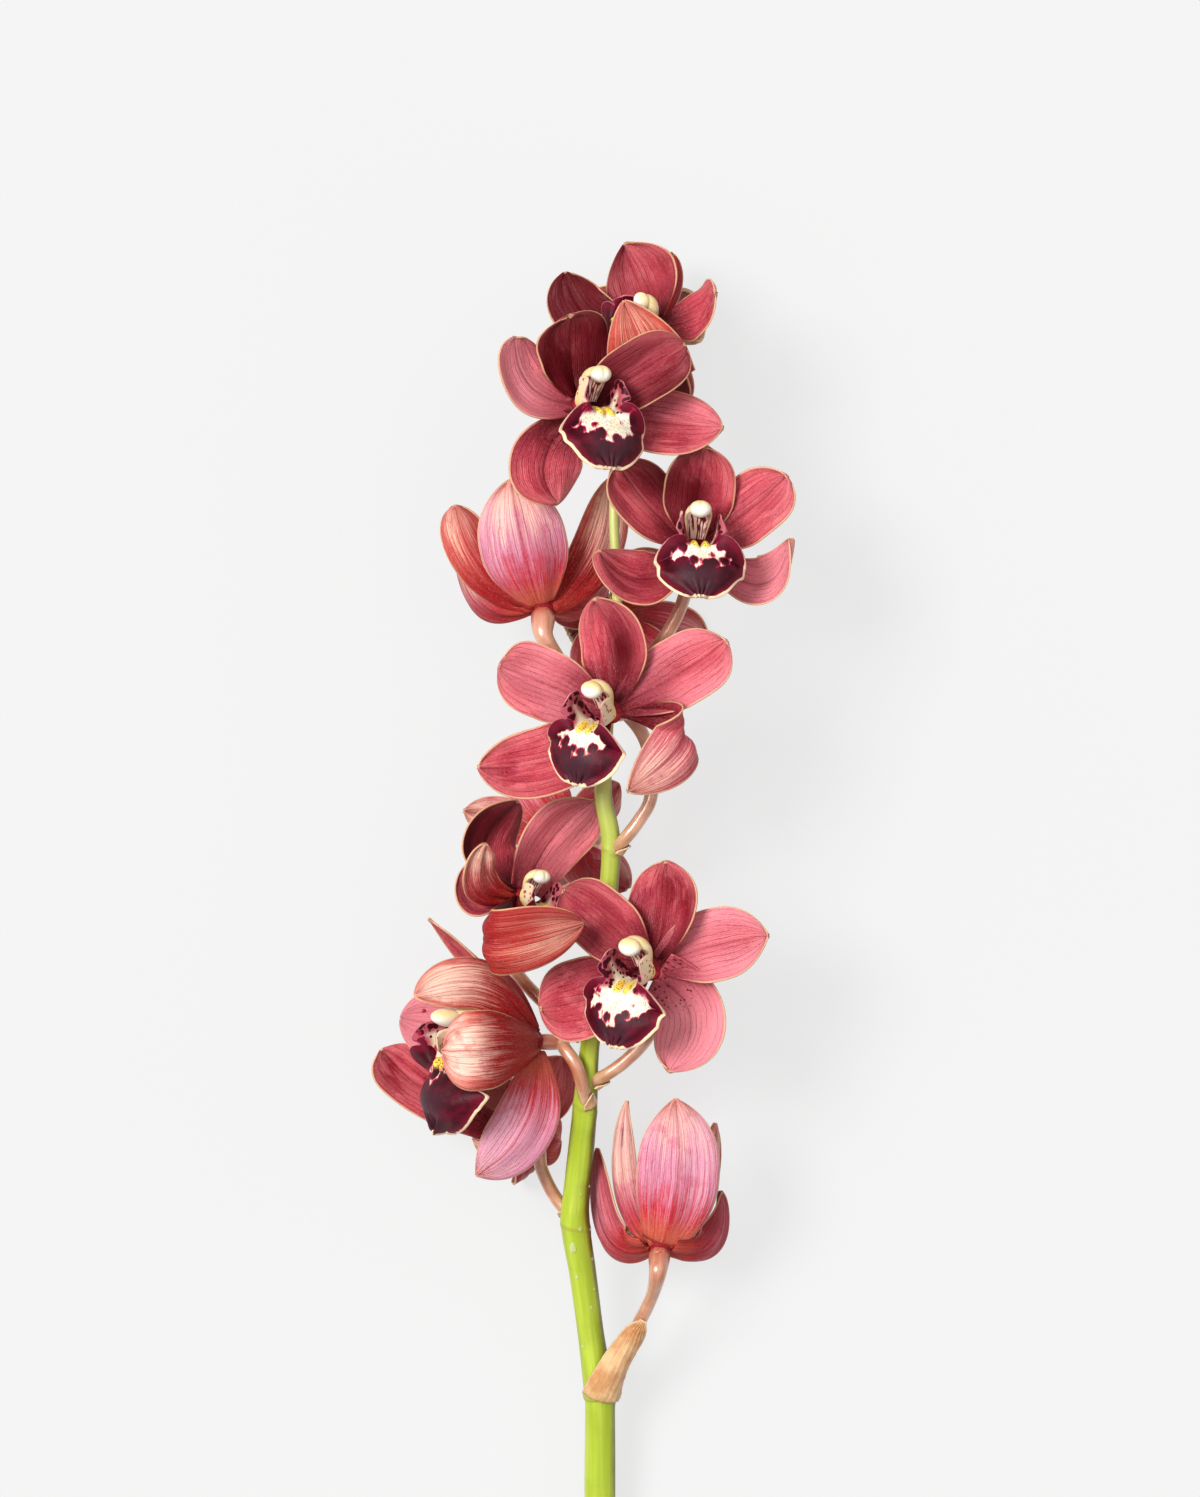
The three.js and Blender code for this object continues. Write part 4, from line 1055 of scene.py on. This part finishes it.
        "axes": ((23, -77.5, 35.5), (0.1, 0.85, -0.5), (0, 0.5, 0.85), 0.86),
        "pedicel": [(4.8, -122.7, 15.7), (10, -112, 20.5), (16.8, -100.2, 26), (20.5, -92, 32.5)],
        "ovary": 3.2,
        "petals": [
            sepal((4.5, 45, 8.5), 25.5, (2.5, -3, 6), edge=(-1, 0.1, 0), warm=0.0, tone=0.2, pale=0.85,
                  neck=0.5, wave=0.3),
            sepal((-10, 44, -3.5), 9, (-4.5, -4, 1), edge=(-0.9, -0.2, -0.4), warm=0.1, pale=1.7, tone=0.3,
                  blunt=-0.2, neck=0.6, shade=(0.9, 0.4, 0.9)),
            sepal((-19, 29.5, -9.5), 17, (-5, -11, -1), edge=(-0.4, -0.4, -0.8), pale=0.0, neck=0.9,
                  tone=-0.3),
            sepal((18, 16.5, -9.5), 15, (5, -7, -1), edge=(-0.4, 0.4, 0.8), pale=0.0, neck=0.9, tone=-0.5),
            sepal((16.5, 37.2, -7.5), 9, (3, -3, 0), edge=(-0.8, 0.2, 0.5), neck=0.6, tone=-0.2),
        ],
    },
    {
        "axes": ((20, 197, 18), (0.2, 0.1, -0.97), (-0.76, -0.65, 0), 0.72),
        "pedicel": [(12.9, 165, 47.8), (12, 172, 42), (14, 184, 36)],
        "petals": [
            sepal((6.6, 26, -4), 12, 3.0, tone=-0.8),
            sepal((-20, 12, -12), 18, 3.0, tone=-0.7),
            sepal((10, -14.5, -17.7), 13, (0, 0, -4.2), cup=5, tone=-0.7),
            sepal((-12, -18, -18.3), 18, 3.0, tone=-0.7),
            sepal((8, -22, -14), 18, 3.0, tone=-0.7),
        ],
    },
]

petal_skin = petal_finish()
lip_skin = lip_finish()
column_skin = column_finish()
pedicel_skin = pedicel_finish()

for number, form in enumerate(BLOOMS, 1):
    bloom = Bloom(number, *form["axes"])
    petals = [hub(bloom)]
    petals += [petal(bloom, i, **look) for i, look in enumerate(form["petals"])]
    dress(join(petals, f"petals_{number}"), petal_skin, "tepals", f"bloom_{number}_tepals")
    own_lip = lip(bloom, form.get("lip"), form.get("deep", 0.0))
    dress(join([own_lip], f"lip_{number}"), lip_skin, "lip", f"bloom_{number}_lip")
    dress(join([column(bloom)], f"column_{number}"), column_skin, "column", f"bloom_{number}_column")
    own_stalk = pedicel(bloom, form["pedicel"], form.get("ovary", OVARY_RADIUS))
    dress(join([own_stalk], f"pedicel_{number}"), pedicel_skin, "pedicel", f"bloom_{number}_pedicel")

dress(stalk(), stalk_finish(), "stalk", "stalk")
papery_skin = bract_finish()
dress(papery("bract_sheath", BRACT_ROWS, 40, 44, 1.0), papery_skin, "bract", "bract")
scales =[scale_leaf(BLOOMS[number - 1]["pedicel"], tilt) for number, tilt in SCALE_TILTS.items()]
dress(join(scales, "scale_leaves"), papery_skin, "bract")
bpy.context.view_layer.update()
drops = dew(bpy.data.objects["stalk_skin"], STALK_DROPS, 0.0)
drops += dew(bpy.data.objects["petals_10"], PETAL_DROPS, 1.0)
dress(join(drops, "dew_drops"), water_finish(), "stalk")


# ---------------------------------------------------------------- floor, light and camera

FLOOR_SIDE = 12  # lengths from here on are in metres
FLOOR_LEVEL = -0.0003
FLOOR_GLOW = 0.75
ROOM_GLOW = 0.4
VIEW_GAMMA = 0.86
WHITE = (1, 1, 1, 1)
LIGHTS = (  # the way each shines, its spread in degrees and its strength
    ("key", (0.6, -0.28, -1), 24, 2.9),
    ("top", (-0.2, -0.1, -1), 100, 0.9),
)


def studio():
    deselect()
    bpy.ops.mesh.primitive_plane_add(size=FLOOR_SIDE, location=(0, 0, FLOOR_LEVEL))
    floor = bpy.context.object
    floor.name = "studio_floor"
    f = Finish("pale_floor", Roughness=0.9, Specular_IOR_Level=0.0, Emission_Strength=FLOOR_GLOW,
               Emission_Color=WHITE)
    tint = f.noise(f.place(), 3.0, 2.0)
    floor.data.materials.append(f.finish(f.mix(tint, (0.115, 0.115, 0.115), (0.125, 0.125, 0.125))))
    scene = bpy.context.scene
    scene.view_settings.view_transform = "Standard"
    scene.view_settings.gamma = VIEW_GAMMA
    world = bpy.data.worlds.new("studio")
    world.use_nodes = True
    background = world.node_tree.nodes["Background"]
    background.inputs["Color"].default_value = WHITE
    background.inputs["Strength"].default_value = ROOM_GLOW
    scene.world = world
    for name, way, spread, power in LIGHTS:
        bpy.ops.object.light_add(type="SUN", location=(0, 0, 2))
        light = bpy.context.object
        light.name = name
        light.data.angle = math.radians(spread)
        light.data.energy = power
        light.rotation_mode = "QUATERNION"
        light.rotation_quaternion = Vector(way).to_track_quat("-Z", "Y")


CAMERA_HEIGHT = 3.0  # above the middle of the blooms
BLOOM_LEVEL = 0.045
VIEW_MIDDLE = (0.0048, 0.07275)
VIEW_LONG_SIDE = 0.4491  # at the middle of the blooms
SENSOR_WIDTH = 36


def camera():
    bpy.ops.object.camera_add(location=(*VIEW_MIDDLE, BLOOM_LEVEL + CAMERA_HEIGHT), rotation=(0, 0, 0))
    eye = bpy.context.object
    eye.data.sensor_width = SENSOR_WIDTH
    eye.data.lens = SENSOR_WIDTH * CAMERA_HEIGHT / VIEW_LONG_SIDE
    eye.data.clip_end = 50
    bpy.context.scene.camera = eye


studio()
camera()
